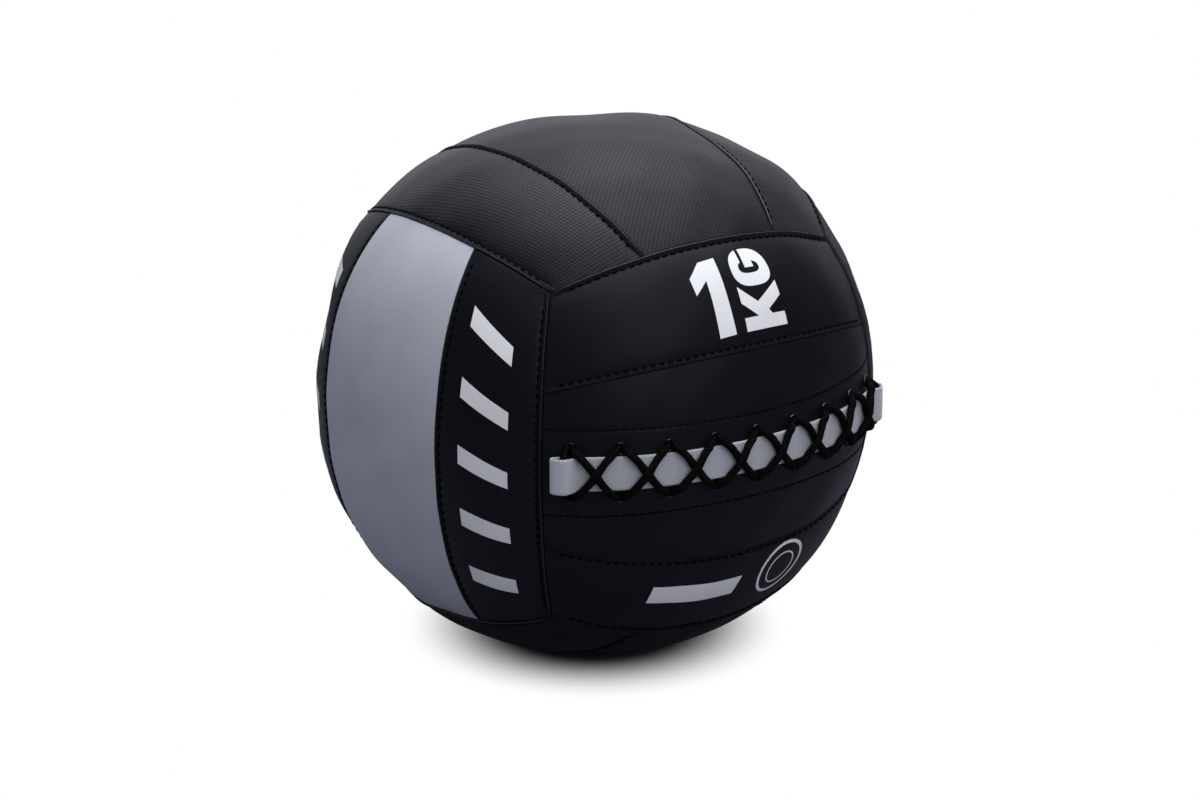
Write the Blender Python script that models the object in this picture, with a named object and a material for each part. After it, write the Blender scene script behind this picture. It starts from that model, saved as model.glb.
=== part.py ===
"""Laced wall ball: padded strips sewn six ways round a ball, with a laced slit in the front face.

Frame: the floor under the ball's centre is the origin, +Z is up and the laced face looks along -Y.
The cover is laid out on the six faces of a cube blown up to a ball, three strips to a face.
Every layer, from the cover to the fill, is the same rounded shape at its own depth.
"""

import math

import bmesh
import bpy
from mathutils import Matrix, Vector

MM = 0.001

# Ball
GIRTH_RADIUS = 177 * MM
REST_SINK = 4 * MM
CLEARANCE = 0.3 * MM
SQUARENESS_SHARE = 0.078
EVEN_SHARE = 0.6
HEIGHT_SHARE = 0.993

# Cover
MIDDLE_STRIP_WIDTH = 129 * MM
CROWN = 1.2 * MM
SEAM_DROP = 1 * MM
SEAM_WALL = 1.2 * MM
SHOULDER_WIDTH = 2.2 * MM
LONG_STEPS = 10
SIDE_STEPS = 2
MIDDLE_STEPS = 4

# Lacing slit
EYELET_PITCH = 29.4 * MM
EYELET_ROW_SPACING = 29.4 * MM
EYELET_END_MARGIN = 14 * MM
LACING_RISE = 1.6 * MM
LACING_SHIFT = -0.7 * MM
SLIT_WIDTH = 6 * MM
HEM_BEYOND_EYELETS = 14.5 * MM
FACING_THICKNESS = 1.2 * MM
FACING_END_INSET = 3 * MM

# Eyelets
EYELET_HOLE_RADIUS = 2.9 * MM
EYELET_TUBE_WALL = 0.5 * MM
EYELET_FLANGE_WIDTH = 0.7 * MM
EYELET_FLANGE_RISE = 0.8 * MM
EYELET_SIDES = 8

# Tongue
TONGUE_WIDTH = 20.5 * MM
TONGUE_THICKNESS = 1.2 * MM
TONGUE_BAR_SHIFT = 1.6 * MM
TONGUE_FOLD_REACH = 7 * MM
TONGUE_SLOPE_LENGTH = 7.5 * MM
TONGUE_RETURN_LENGTH = 2 * MM
TONGUE_STEPS = 16
FOLD_STEPS = 6

# Lace
LACE_DIAMETER = 4.3 * MM
LACE_GAP = 0.6 * MM
LACE_BEND_RISE = 1.2 * MM
LACE_BEND_RUN = 3 * MM
LACE_SQUEEZE_SHARE = 0.52
LACE_BEND_SHARE = 0.8
KNOT_RADIUS = 3.4 * MM
KNOT_LENGTH = 9 * MM

# Padding, bag and fill
PAD_THICKNESS = 14 * MM
BAG_WALL = 1 * MM
BAG_MOUTH_LENGTH = 120 * MM
BAG_MOUTH_WIDTH = 24 * MM
BAG_STEPS = 6

# Ballast in the middle
BALLAST_RADIUS = 25 * MM
POUCH_WALL = 1 * MM
POUCH_NECK_RADIUS = 6 * MM
POUCH_NECK_LENGTH = 18 * MM
TIE_RADIUS = 1.5 * MM
BALLAST_SIDES = 16
BALLAST_STEPS = 8
TIE_STEPS = 6

# Worked-out sizes
FACE_SHARE = 1 + SQUARENESS_SHARE * (EVEN_SHARE - 1)
FACE_RADIUS = GIRTH_RADIUS * FACE_SHARE
CENTRE_HEIGHT = FACE_RADIUS * HEIGHT_SHARE - REST_SINK
QUARTER = math.radians(45)
SEAM_TURN = MIDDLE_STRIP_WIDTH / 2 / FACE_RADIUS
HALF_GAP = CLEARANCE / 2
PANEL_DEPTH = CROWN + SEAM_DROP + SEAM_WALL
EYELET_COLUMNS = int((2 * QUARTER * FACE_RADIUS - 2 * EYELET_END_MARGIN) / EYELET_PITCH) + 1
PITCH_TURN = EYELET_PITCH / FACE_RADIUS
HEM_REACH = EYELET_ROW_SPACING / 2 + HEM_BEYOND_EYELETS
FACING_TOP = PANEL_DEPTH + CLEARANCE
FACING_BOTTOM = FACING_TOP + FACING_THICKNESS
PAD_TOP = PANEL_DEPTH + CLEARANCE
PAD_BOTTOM = PAD_TOP + PAD_THICKNESS
EYELET_TUBE_RADIUS = EYELET_HOLE_RADIUS + EYELET_TUBE_WALL
EYELET_RADIUS = EYELET_TUBE_RADIUS + EYELET_FLANGE_WIDTH
EYELET_TOP = CLEARANCE + EYELET_FLANGE_RISE
EYELET_REACH = FACING_BOTTOM + CLEARANCE + EYELET_FLANGE_RISE
LACE_RADIUS = LACE_DIAMETER / 2
LACE_SPREAD = LACE_RADIUS * LACE_SQUEEZE_SHARE + LACE_GAP / 2
LACE_CROSS_RISE = LACE_DIAMETER + LACE_GAP

FACES = {
    "front": (Vector((0, -1, 0)), Vector((1, 0, 0)), Vector((0, 0, 1))),
    "rear": (Vector((0, 1, 0)), Vector((1, 0, 0)), Vector((0, 0, 1))),
    "left": (Vector((-1, 0, 0)), Vector((0, 0, 1)), Vector((0, 1, 0))),
    "right": (Vector((1, 0, 0)), Vector((0, 0, 1)), Vector((0, 1, 0))),
    "top": (Vector((0, 0, 1)), Vector((0, 1, 0)), Vector((1, 0, 0))),
    "bottom": (Vector((0, 0, -1)), Vector((0, 1, 0)), Vector((1, 0, 0))),
}
STRIP_NAMES = {
    "front": ("panel_lower", "flap", "panel_upper"),
    "rear": ("panel_lower", "panel_middle", "panel_upper"),
    "left": ("panel_front", "panel_middle", "panel_rear"),
    "right": ("panel_front", "panel_middle", "panel_rear"),
    "top": ("panel_left", "panel_middle", "panel_right"),
    "bottom": ("panel_left", "panel_middle", "panel_right"),
}


# Materials
def material(name, colour, roughness, metallic=0.0):
    found = bpy.data.materials.new(name)
    found.use_nodes = True
    shader = found.node_tree.nodes["Principled BSDF"]
    shader.inputs["Base Color"].default_value = (*colour, 1.0)
    shader.inputs["Roughness"].default_value = roughness
    shader.inputs["Metallic"].default_value = metallic
    found.diffuse_color = (*colour, 1.0)
    return found


# Shape of the ball
def direction(face, along_turn, across_turn):
    """Unit direction on a face, from its turns along and across the strips."""
    normal, along, across = FACES[face]
    return (normal + math.tan(along_turn) * along + math.tan(across_turn) * across).normalized()


def ball_point(toward, depth, layer=None):
    """Point of the rounded shape under the cover, pressed flat where it meets the floor."""
    quartic = sum(part ** 4 for part in toward)
    radius = GIRTH_RADIUS * (1 + SQUARENESS_SHARE * (EVEN_SHARE - quartic)) - depth
    point = toward * radius
    point.z = point.z * HEIGHT_SHARE + CENTRE_HEIGHT
    point.z = max(point.z, depth if layer is None else layer)
    return point


def on_front(along, across, height):
    """Point above the laced face, by distances along and across the slit."""
    along_turn = (along + LACING_SHIFT) / FACE_RADIUS
    across_turn = (across + LACING_RISE) / FACE_RADIUS
    toward = Vector((math.sin(along_turn), -math.cos(along_turn), 0)) * math.cos(across_turn)
    toward.z = math.sin(across_turn)
    return ball_point(toward, -height)


def facet_sag(radius, along_turn, across_turn):
    """How far the middle of a flat facet lies under the round surface."""
    return radius * (1 - math.cos(math.hypot(along_turn, across_turn) / 2))


# Mesh helpers
def finish(name, mesh_data, look, smooth_turn=math.radians(35)):
    mesh = bpy.data.meshes.new(name)
    mesh_data.to_mesh(mesh)
    mesh_data.free()
    mesh.materials.append(look)
    mesh.shade_smooth()
    mesh.set_sharp_from_angle(angle=smooth_turn)
    piece = bpy.data.objects.new(name, mesh)
    bpy.context.collection.objects.link(piece)
    return piece


def add_quad(mesh_data, corners, middle):
    """Two triangles whose shared edge stands out from the ball's middle."""
    first, second, third, fourth = corners
    rise = ((first.co + third.co) / 2 - middle).length - ((second.co + fourth.co) / 2 - middle).length
    if rise >= 0:
        triangles = ((first, second, third), (first, third, fourth))
    else:
        triangles = ((second, third, fourth), (second, fourth, first))
    for triangle in triangles:
        mesh_data.faces.new(triangle)


def add_grid(mesh_data, rows):
    """Triangles over rows of vertices that run side by side."""
    middle = Vector((0, 0, CENTRE_HEIGHT))
    for near, far in zip(rows, rows[1:]):
        for index in range(len(near) - 1):
            add_quad(mesh_data, (near[index], near[index + 1], far[index + 1], far[index]), middle)


def grid_border(rows):
    top = list(rows[0])
    right = [row[-1] for row in rows[1:]]
    bottom = list(reversed(rows[-1][:-1]))
    left = [row[0] for row in reversed(rows[1:-1])]
    return top + right + bottom + left


def closed_slab(name, outer_rows, inner_rows, look):
    """One closed body between an outer and an inner grid of points."""
    mesh_data = bmesh.new()
    outer = [[mesh_data.verts.new(point) for point in row] for row in outer_rows]
    inner = [[mesh_data.verts.new(point) for point in row] for row in inner_rows]
    add_grid(mesh_data, outer)
    add_grid(mesh_data, inner)
    add_grid(mesh_data, [ring + ring[:1] for ring in (grid_border(outer), grid_border(inner))])
    bmesh.ops.recalc_face_normals(mesh_data, faces=mesh_data.faces)
    return finish(name, mesh_data, look)


def turned(name, profile, sides, look, closed_profile=False):
    """Body turned about its own Z from points of radius and height; radius zero is a pole."""
    mesh_data = bmesh.new()
    rings = []
    for radius, height in profile:
        if radius == 0:
            rings.append([mesh_data.verts.new((0, 0, height))] * sides)
            continue
        turns = [2 * math.pi * index / sides for index in range(sides)]
        rings.append([mesh_data.verts.new((radius * math.cos(turn), radius * math.sin(turn), height))
                      for turn in turns])
    pairs = list(zip(rings, rings[1:]))
    if closed_profile:
        pairs.append((rings[-1], rings[0]))
    for near, far in pairs:
        for index in range(sides):
            following = (index + 1) % sides
            loop = [near[index], near[following], far[following], far[index]]
            mesh_data.faces.new(list(dict.fromkeys(loop)))
    bmesh.ops.recalc_face_normals(mesh_data, faces=mesh_data.faces)
    bmesh.ops.triangulate(mesh_data, faces=mesh_data.faces)
    return finish(name, mesh_data, look)


def subtract(piece, cutter):
    cutter.hide_render = True
    cutter.display_type = "WIRE"
    cut = piece.modifiers.new("Cut " + cutter.name, "BOOLEAN")
    cut.operation = "DIFFERENCE"
    cut.object = cutter


# Lines of the cover
def even_lines(low, high, steps):
    return [low + (high - low) * step / steps for step in range(steps + 1)]


def eyelet_turns():
    first = -(EYELET_COLUMNS - 1) / 2
    return [(first + column) * PITCH_TURN + LACING_SHIFT / FACE_RADIUS for column in range(EYELET_COLUMNS)]


def long_lines(face):
    """Lines across the strips: on the laced face they pass midway between the eyelets."""
    if face != "front":
        return even_lines(-QUARTER, QUARTER, LONG_STEPS)
    turns = eyelet_turns()
    return [-QUARTER] + [(near + far) / 2 for near, far in zip(turns, turns[1:])] + [QUARTER]


def straight(across_turn):
    """Line along the strips that keeps its turn, as the seams do."""
    return lambda along_turn: across_turn


def beside_slit(distance):
    """Line along the laced face that keeps its distance from the slit's middle."""
    latitude = (distance + LACING_RISE) / FACE_RADIUS
    return lambda along_turn: math.atan(math.tan(latitude) / math.cos(along_turn))


def half_slit(along_turn):
    """Half the slit's width, which closes towards both ends."""
    return SLIT_WIDTH / 2 * (1 - min(1, abs(along_turn) / QUARTER) ** 2)


def slit_edge(side, beyond=0):
    """Line along one side of the slit, or at a distance beyond it."""
    return lambda along_turn: beside_slit(side * (half_slit(along_turn) + beyond))(along_turn)


def inset_turns(along_turn, across_turn, along_inset, across_inset):
    """Turns moved by true distances on the ball."""
    along_square = 1 + math.tan(along_turn) ** 2
    across_square = 1 + math.tan(across_turn) ** 2
    whole = along_square + across_square - 1
    along_rate = along_square * math.sqrt(across_square) / whole
    across_rate = across_square * math.sqrt(along_square) / whole
    return (along_turn + along_inset / (GIRTH_RADIUS * along_rate),
            across_turn + across_inset / (GIRTH_RADIUS * across_rate))


def with_borders(lines, edge, shoulder):
    """Lines with their inset and rim mark, with a shoulder line beside each border if asked."""
    first = [(lines[0], edge, True)]
    last = [(lines[-1], -edge, True)]
    if shoulder:
        first.append((lines[0], edge + shoulder, False))
        last.insert(0, (lines[-1], -edge - shoulder, False))
    return first + [(line, 0, False) for line in lines[1:-1]] + last


def surface(face, along_lines, across_lines, depth_of, layer):
    """Rows of points over one strip at the depth that depth_of gives."""
    rows = []
    for along_line, along_inset, along_rim in along_lines:
        row = []
        for across_line, across_inset, across_rim in across_lines:
            across_turn = across_line(along_line)
            along_turn, _ = inset_turns(along_line, across_turn, along_inset, 0)
            across_turn = across_line(along_turn)
            _, across_turn = inset_turns(along_turn, across_turn, 0, across_inset)
            depth = depth_of(along_turn, across_turn, along_rim or across_rim)
            row.append(ball_point(direction(face, along_turn, across_turn), depth, layer))
        rows.append(row)
    return rows


def crown_depth(low_turn, high_turn):
    """Depth of a padded strip's skin: full at its middle, drawn in at its sewn edges."""
    middle = (low_turn + high_turn) / 2
    half = (high_turn - low_turn) / 2

    def depth(along_turn, across_turn, rim):
        across_share = min(1, abs(across_turn - middle) / half)
        along_share = min(1, abs(along_turn) / QUARTER)
        bulge_share = (1 - across_share ** 2) * (1 - along_share ** 4)
        return CROWN * (1 - bulge_share) + (SEAM_DROP if rim else 0)
    return depth


def padded_strip(name, face, across_lines, span, look):
    along = with_borders(long_lines(face), HALF_GAP, SHOULDER_WIDTH)
    across = with_borders(across_lines, HALF_GAP, SHOULDER_WIDTH)
    outer = surface(face, along, across, crown_depth(*span), 0)
    inner = surface(face, along, across, lambda *place: PANEL_DEPTH, PANEL_DEPTH)
    return closed_slab(name, outer, inner, look)


def plain_layer(name, face, along_inset, across_lines, top, bottom, look):
    along = with_borders(long_lines(face), along_inset, 0)
    across = with_borders(across_lines, HALF_GAP, 0)
    outer = surface(face, along, across, lambda *place: top, top)
    inner = surface(face, along, across, lambda *place: bottom, bottom)
    return closed_slab(name, outer, inner, look)


# Cover
def make_cover(black, grey):
    """Eighteen strips, of which the laced one is two flaps."""
    side = even_lines(SEAM_TURN, QUARTER, SIDE_STEPS)
    middle = even_lines(-SEAM_TURN, SEAM_TURN, MIDDLE_STEPS)
    for face, names in STRIP_NAMES.items():
        low = [straight(-turn) for turn in reversed(side)]
        high = [straight(turn) for turn in side]
        padded_strip(face + "_" + names[0], face, low, (-QUARTER, -SEAM_TURN), black)
        padded_strip(face + "_" + names[2], face, high, (SEAM_TURN, QUARTER), black)
        if face != "front":
            look = grey if face in ("left", "right") else black
            lines = [straight(turn) for turn in middle]
            padded_strip(face + "_" + names[1], face, lines, (-SEAM_TURN, SEAM_TURN), look)


def flap_lines(side):
    """Lines of a flap, from the slit to the seam on its side (1 upper, -1 lower)."""
    lines = [slit_edge(side), beside_slit(side * HEM_REACH), straight(side * SEAM_TURN)]
    return lines if side > 0 else lines[::-1]


def eyelet_frame(side, along_turn):
    """Centre, along, across and out directions of an eyelet, on the flat facet that carries it."""
    depth = crown_depth(-SEAM_TURN, SEAM_TURN)
    lines = long_lines("front")
    low = max(line for line in lines[:-1] if line < along_turn)
    high = min(line for line in lines[1:] if line > along_turn)
    border = HALF_GAP + SHOULDER_WIDTH
    near, far = slit_edge(side, border), beside_slit(side * HEM_REACH)
    corners = [[ball_point(direction("front", turn, line(turn)), depth(turn, line(turn), False), 0)
                for line in (near, far)] for turn in (low, high)]
    along_share = (along_turn - low) / (high - low)
    near_reach = half_slit(along_turn) + border
    across_share = (EYELET_ROW_SPACING / 2 - near_reach) / (HEM_REACH - near_reach)
    near_point = corners[0][0].lerp(corners[1][0], along_share)
    far_point = corners[0][1].lerp(corners[1][1], along_share)
    centre = near_point.lerp(far_point, across_share)
    along = (corners[1][0] + corners[1][1] - corners[0][0] - corners[0][1]).normalized()
    out = along.cross((far_point - near_point) * side).normalized()
    return centre, along, out.cross(along), out


def placed(frame, along, across, out):
    centre, along_way, across_way, out_way = frame
    return centre + along_way * along + across_way * across + out_way * out


def frame_matrix(frame):
    centre, along, across, out = frame
    turn = Matrix((along, across, out)).transposed().to_4x4()
    return Matrix.Translation(centre) @ turn


def make_flaps(frames, black, hem_black, metal):
    """Two laced flaps, the hem facing folded behind each, and their rows of eyelets."""
    hole_radius = EYELET_TUBE_RADIUS + CLEARANCE
    overrun = FACING_BOTTOM * 2
    hole_profile = [(0, -overrun), (hole_radius, -overrun), (hole_radius, overrun), (0, overrun)]
    top = EYELET_TOP
    bottom = -EYELET_REACH
    ring_profile = [(EYELET_HOLE_RADIUS, top), (EYELET_RADIUS, top - EYELET_FLANGE_RISE),
                    (EYELET_TUBE_RADIUS, top - EYELET_FLANGE_RISE),
                    (EYELET_TUBE_RADIUS, bottom + EYELET_FLANGE_RISE),
                    (EYELET_RADIUS, bottom + EYELET_FLANGE_RISE), (EYELET_HOLE_RADIUS, bottom)]
    for side, place in ((1, "upper"), (-1, "lower")):
        flap = padded_strip("front_flap_" + place, "front", flap_lines(side), (-SEAM_TURN, SEAM_TURN), black)
        lines = flap_lines(side)
        facing_lines = lines[:2] if side > 0 else lines[1:]
        facing = plain_layer("flap_facing_" + place, "front", FACING_END_INSET, facing_lines,
                             FACING_TOP, FACING_BOTTOM, hem_black)
        for column, frame in enumerate(frames[side]):
            eyelet = turned("eyelet_%s_%d" % (place, column + 1), ring_profile, EYELET_SIDES, metal, True)
            eyelet.matrix_world = frame_matrix(frame)
            punch = turned("punch_%s_%d" % (place, column + 1), hole_profile, EYELET_SIDES, metal)
            punch.matrix_world = frame_matrix(frame)
            subtract(flap, punch)
            subtract(facing, punch)


# Tongue
def tongue_levels():
    low = CLEARANCE + TONGUE_THICKNESS / 2
    return low, low + TONGUE_THICKNESS + 4 * CLEARANCE + LACE_DIAMETER


def bar_along(end):
    """Where the lace's bar passes through the folded end of the tongue (1 right, -1 left)."""
    return end * ((EYELET_COLUMNS - 1) / 2 * EYELET_PITCH + LACE_SPREAD + TONGUE_BAR_SHIFT)


def tongue_end():
    """Centre line of the tongue's right end: up over the bar, round it and back underneath."""
    low, high = tongue_levels()
    bar = bar_along(1)
    points = []
    for step in range(1, FOLD_STEPS + 1):
        share = step / FOLD_STEPS
        rise_share = (1 - math.cos(math.pi * share)) / 2
        points.append((bar - TONGUE_SLOPE_LENGTH * (1 - share), low + (high - low) * rise_share))
    for step in range(1, FOLD_STEPS + 1):
        turn = math.pi * step / FOLD_STEPS
        height = (low + high) / 2 + (high - low) / 2 * math.cos(turn)
        points.append((bar + TONGUE_FOLD_REACH * math.sin(turn), height))
    points.append((bar - TONGUE_RETURN_LENGTH, low))
    return points


def make_tongue(grey):
    """Strip over the slit, folded round the lace at both ends."""
    low, _ = tongue_levels()
    right = tongue_end()
    left = [(-along, height) for along, height in reversed(right)]
    reach = bar_along(1) - TONGUE_SLOPE_LENGTH
    middle = [(along, low) for along in even_lines(-reach, reach, TONGUE_STEPS)]
    line = [Vector(point) for point in left + middle + right]
    sides = []
    for index, point in enumerate(line):
        before = line[max(index - 1, 0)]
        after = line[min(index + 1, len(line) - 1)]
        way = (after - before).normalized()
        normal = Vector((-way.y, way.x)) * TONGUE_THICKNESS / 2
        sides.append((point + normal, point - normal))
    across = (-TONGUE_WIDTH / 2, 0, TONGUE_WIDTH / 2)
    outer = [[on_front(top.x, width, top.y) for width in across] for top, under in sides]
    inner = [[on_front(under.x, width, under.y) for width in across] for top, under in sides]
    return closed_slab("tongue", outer, inner, grey)


# Lace
def lace_height():
    """Height of the lace's middle where it lies on the tongue."""
    low, _ = tongue_levels()
    return low + TONGUE_THICKNESS / 2 + LACE_GAP / 2 + LACE_RADIUS


def mouth_and_bend(frame, half, edge):
    """Points where a run leaves an eyelet's outside mouth and leans over to its next point."""
    mouth = placed(frame, half * LACE_SPREAD, 0, EYELET_TOP + CLEARANCE)
    bend = (mouth + edge) / 2 + frame[3] * LACE_BEND_RISE
    return [(mouth, LACE_SQUEEZE_SHARE), (bend, LACE_BEND_SHARE)]


def diagonal(frames, start, end, over):
    """Points of one outside run between two eyelets, on the tongue or over the run that is."""
    places = []
    for row, column, half in (start, end):
        along = (column - (EYELET_COLUMNS - 1) / 2) * EYELET_PITCH + half * LACE_SPREAD
        places.append(Vector((along, row * EYELET_ROW_SPACING / 2)))
    edge_share = (EYELET_ROW_SPACING / 2 - TONGUE_WIDTH / 2 - LACE_RADIUS) / EYELET_ROW_SPACING
    hump_share = LACE_DIAMETER / (places[1] - places[0]).length
    shares = [(edge_share, 0), (1 - edge_share, 0)]
    if over:
        shares[1:1] = [(0.5 - hump_share, LACE_CROSS_RISE), (0.5 + hump_share, LACE_CROSS_RISE)]
    else:
        shares[1:1] = [(0.5, 0)]
    points = []
    for share, rise in shares:
        spot = places[0].lerp(places[1], share)
        points.append((on_front(spot.x, spot.y, lace_height() + rise), 1))
    first = mouth_and_bend(frames[start[0]][start[1]], start[2], points[0][0])
    last = mouth_and_bend(frames[end[0]][end[1]], end[2], points[-1][0])
    return first + points + last[::-1]


def bar(frames, column, start_row, half):
    """Points of the outside run straight across the slit, inside the tongue's fold."""
    low, high = tongue_levels()
    middle = bar_along(1 if column else -1)
    height = (low + high) / 2
    points = []
    for row, order in ((start_row, 1), (-start_row, -1)):
        edge = on_front(middle, row * (TONGUE_WIDTH / 2 + LACE_RADIUS), height)
        run = mouth_and_bend(frames[row][column], half, edge)
        run += [(edge, 1), (on_front(middle, row * TONGUE_WIDTH / 4, height), 1)]
        points.extend(run[::order])
    return points


def inner_depths():
    """Depths of the two inside runs that cross behind each pair of eyelets."""
    sag = facet_sag(GIRTH_RADIUS, PITCH_TURN, HEM_REACH / FACE_RADIUS)
    first = sag + EYELET_REACH + CLEARANCE + LACE_RADIUS
    return first, first + LACE_CROSS_RISE


def inner_half(frames, row, column, half, deep):
    """Points from an eyelet's inside mouth towards the middle of an inside run."""
    below = EYELET_REACH + CLEARANCE
    run, drop = (LACE_RADIUS, LACE_CROSS_RISE) if deep else (LACE_BEND_RUN, LACE_RADIUS)
    frame = frames[row][column]
    mouth = placed(frame, half * LACE_SPREAD, 0, -below)
    bend = placed(frame, half * LACE_SPREAD, -row * run, -below - drop)
    return [(mouth, LACE_SQUEEZE_SHARE), (bend, LACE_SQUEEZE_SHARE)]


def inner_run(frames, start, end, deep):
    """Points of a whole inside run between the two eyelets of one column."""
    depth = inner_depths()[1 if deep else 0]
    along = (start[1] - (EYELET_COLUMNS - 1) / 2) * EYELET_PITCH
    first = inner_half(frames, *start, deep)
    last = inner_half(frames, *end, deep)
    return first + [(on_front(along, 0, -depth), 1)] + last[::-1]


def knot_place():
    along = (EYELET_COLUMNS - 1) / 2 * EYELET_PITCH
    return on_front(along, 0, -inner_depths()[1] - KNOT_RADIUS + LACE_RADIUS)


def lace_route(frames):
    """The whole lace from knot to knot: out along one zigzag, round the far bar and back."""
    last = EYELET_COLUMNS - 1
    knot = knot_place()
    lower_end = inner_half(frames, -1, last, -1, True)
    upper_end = inner_half(frames, 1, last, 1, True)
    route = []
    for half_run in (lower_end, upper_end):
        way = (half_run[-1][0] - knot).normalized()
        half_run.append((knot + way * (KNOT_LENGTH / 2 + CLEARANCE), LACE_BEND_SHARE))
    route += lower_end[::-1]
    for column in range(last, 0, -1):
        route += diagonal(frames, (-1, column, -1), (1, column - 1, 1), False)
        route += inner_run(frames, (1, column - 1, 1), (-1, column - 1, -1), True)
    route += bar(frames, 0, -1, -1)
    for column in range(last):
        route += inner_run(frames, (1, column, -1), (-1, column, 1), False)
        route += diagonal(frames, (-1, column, 1), (1, column + 1, -1), True)
    route += inner_run(frames, (1, last, -1), (-1, last, 1), False)
    route += bar(frames, last, -1, 1)
    route += upper_end
    return route


def least_gap(route):
    """Least distance between the lace's own surfaces, stretch against stretch."""
    spans = list(zip(route, route[1:]))
    least = GIRTH_RADIUS
    for index, (start, end) in enumerate(spans):
        for other_start, other_end in spans[index + 3:]:
            if (start[0] - other_start[0]).length > EYELET_PITCH * 2:
                continue
            for share in (0, 0.25, 0.5, 0.75, 1):
                spot = start[0].lerp(end[0], share)
                size = start[1] + (end[1] - start[1]) * share
                span = other_end[0] - other_start[0]
                other = max(0, min(1, (spot - other_start[0]).dot(span) / span.length_squared))
                other_size = other_start[1] + (other_end[1] - other_start[1]) * other
                apart = (spot - other_start[0].lerp(other_end[0], other)).length
                least = min(least, apart - (size + other_size) * LACE_RADIUS)
    return least


def make_lace(frames, cord_black):
    """One unbroken cord, squeezed where two runs share an eyelet, and its knot."""
    route = lace_route(frames)
    curve = bpy.data.curves.new("lace", "CURVE")
    curve.dimensions = "3D"
    curve.bevel_depth = LACE_RADIUS
    curve.bevel_resolution = 1
    curve.use_fill_caps = True
    spline = curve.splines.new("POLY")
    spline.points.add(len(route) - 1)
    for target, (point, size) in zip(spline.points, route):
        target.co = (*point, 1)
        target.radius = size
    curve.materials.append(cord_black)
    lace = bpy.data.objects.new("lace", curve)
    bpy.context.collection.objects.link(lace)
    length = sum((after[0] - before[0]).length for before, after in zip(route, route[1:]))
    print("lace: %d points, %.3f m long, least gap to itself %.2f mm"
          % (len(route), length, least_gap(route) / MM))
    turns = even_lines(0, math.pi, TIE_STEPS)[1:-1]
    belly = [(KNOT_RADIUS * math.sin(turn), -KNOT_LENGTH / 2 * math.cos(turn)) for turn in turns]
    profile = [(0, -KNOT_LENGTH / 2)] + belly + [(0, KNOT_LENGTH / 2)]
    knot = turned("lace_knot", profile, EYELET_SIDES, cord_black)
    knot.location = knot_place()


# Inside
def make_pads(foam):
    """Foam under each face; behind the flaps it leaves a pocket for the lace's inside runs."""
    side = even_lines(SEAM_TURN, QUARTER, SIDE_STEPS)
    middle = even_lines(-SEAM_TURN, SEAM_TURN, MIDDLE_STEPS)
    whole = [straight(-turn) for turn in reversed(side[1:])] + [straight(turn) for turn in middle] \
        + [straight(turn) for turn in side[1:]]
    for face in FACES:
        if face != "front":
            plain_layer(face + "_pad", face, HALF_GAP, whole, PAD_TOP, PAD_BOTTOM, foam)
    upper = [beside_slit(HEM_REACH)] + [straight(turn) for turn in side]
    lower = [straight(-turn) for turn in reversed(side)] + [beside_slit(-HEM_REACH)]
    plain_layer("front_pad_upper", "front", HALF_GAP, upper, PAD_TOP, PAD_BOTTOM, foam)
    plain_layer("front_pad_lower", "front", HALF_GAP, lower, PAD_TOP, PAD_BOTTOM, foam)


def rounded_body(name, depth, steps, look):
    """Closed body of the ball's rounded shape at one depth."""
    mesh_data = bmesh.new()
    lines = even_lines(-QUARTER, QUARTER, steps)
    for face in FACES:
        rows = [[mesh_data.verts.new(ball_point(direction(face, along, across), depth)) for across in lines]
                for along in lines]
        add_grid(mesh_data, rows)
    bmesh.ops.remove_doubles(mesh_data, verts=mesh_data.verts, dist=CLEARANCE / 10)
    bmesh.ops.recalc_face_normals(mesh_data, faces=mesh_data.faces)
    return finish(name, mesh_data, look)


def bag_depth():
    widest = max(2 * QUARTER / LONG_STEPS, PITCH_TURN)
    pad_sag = facet_sag(GIRTH_RADIUS, widest, 2 * SEAM_TURN / MIDDLE_STEPS)
    lace_bottom = inner_depths()[1] + LACE_RADIUS + max(0, 2 * (KNOT_RADIUS - LACE_RADIUS))
    return max(PAD_BOTTOM + pad_sag, lace_bottom) + CLEARANCE


def make_bag_and_fill(cloth, fibre):
    """Cloth bag with its mouth behind the slit, and the fibre fill with the way in to the ballast."""
    bag = rounded_body("inner_bag", bag_depth(), BAG_STEPS, cloth)
    wall = bag.modifiers.new("Wall", "SOLIDIFY")
    wall.thickness = BAG_WALL
    wall.offset = -1
    mouth_data = bmesh.new()
    bmesh.ops.create_cube(mouth_data, size=BAG_MOUTH_WIDTH)
    mouth = finish("bag_mouth", mouth_data, cloth)
    mouth.scale = (BAG_MOUTH_LENGTH / BAG_MOUTH_WIDTH, GIRTH_RADIUS / BAG_MOUTH_WIDTH, 1)
    mouth.location = (LACING_SHIFT, -GIRTH_RADIUS, CENTRE_HEIGHT + LACING_RISE)
    subtract(bag, mouth)
    fill = rounded_body("fibre_fill", bag_depth() + BAG_WALL + CLEARANCE, BAG_STEPS, fibre)
    cavity = BALLAST_RADIUS + POUCH_WALL + 2 * CLEARANCE
    cavity += facet_sag(cavity, math.pi / BALLAST_STEPS, 2 * math.pi / BALLAST_SIDES)
    channel = max(POUCH_NECK_RADIUS + TIE_RADIUS * 2, BAG_MOUTH_WIDTH / 2) + CLEARANCE
    start = math.asin(min(1, channel / cavity))
    arc = [(cavity * math.sin(turn), cavity * math.cos(turn))
           for turn in even_lines(math.pi, start, BALLAST_STEPS)[1:]]
    profile = [(0, -cavity)] + arc + [(channel, GIRTH_RADIUS), (0, GIRTH_RADIUS)]
    hollow = turned("fill_hollow", profile, BALLAST_SIDES, fibre)
    hollow.rotation_euler.x = 2 * QUARTER
    hollow.location.z = CENTRE_HEIGHT
    subtract(fill, hollow)


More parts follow.
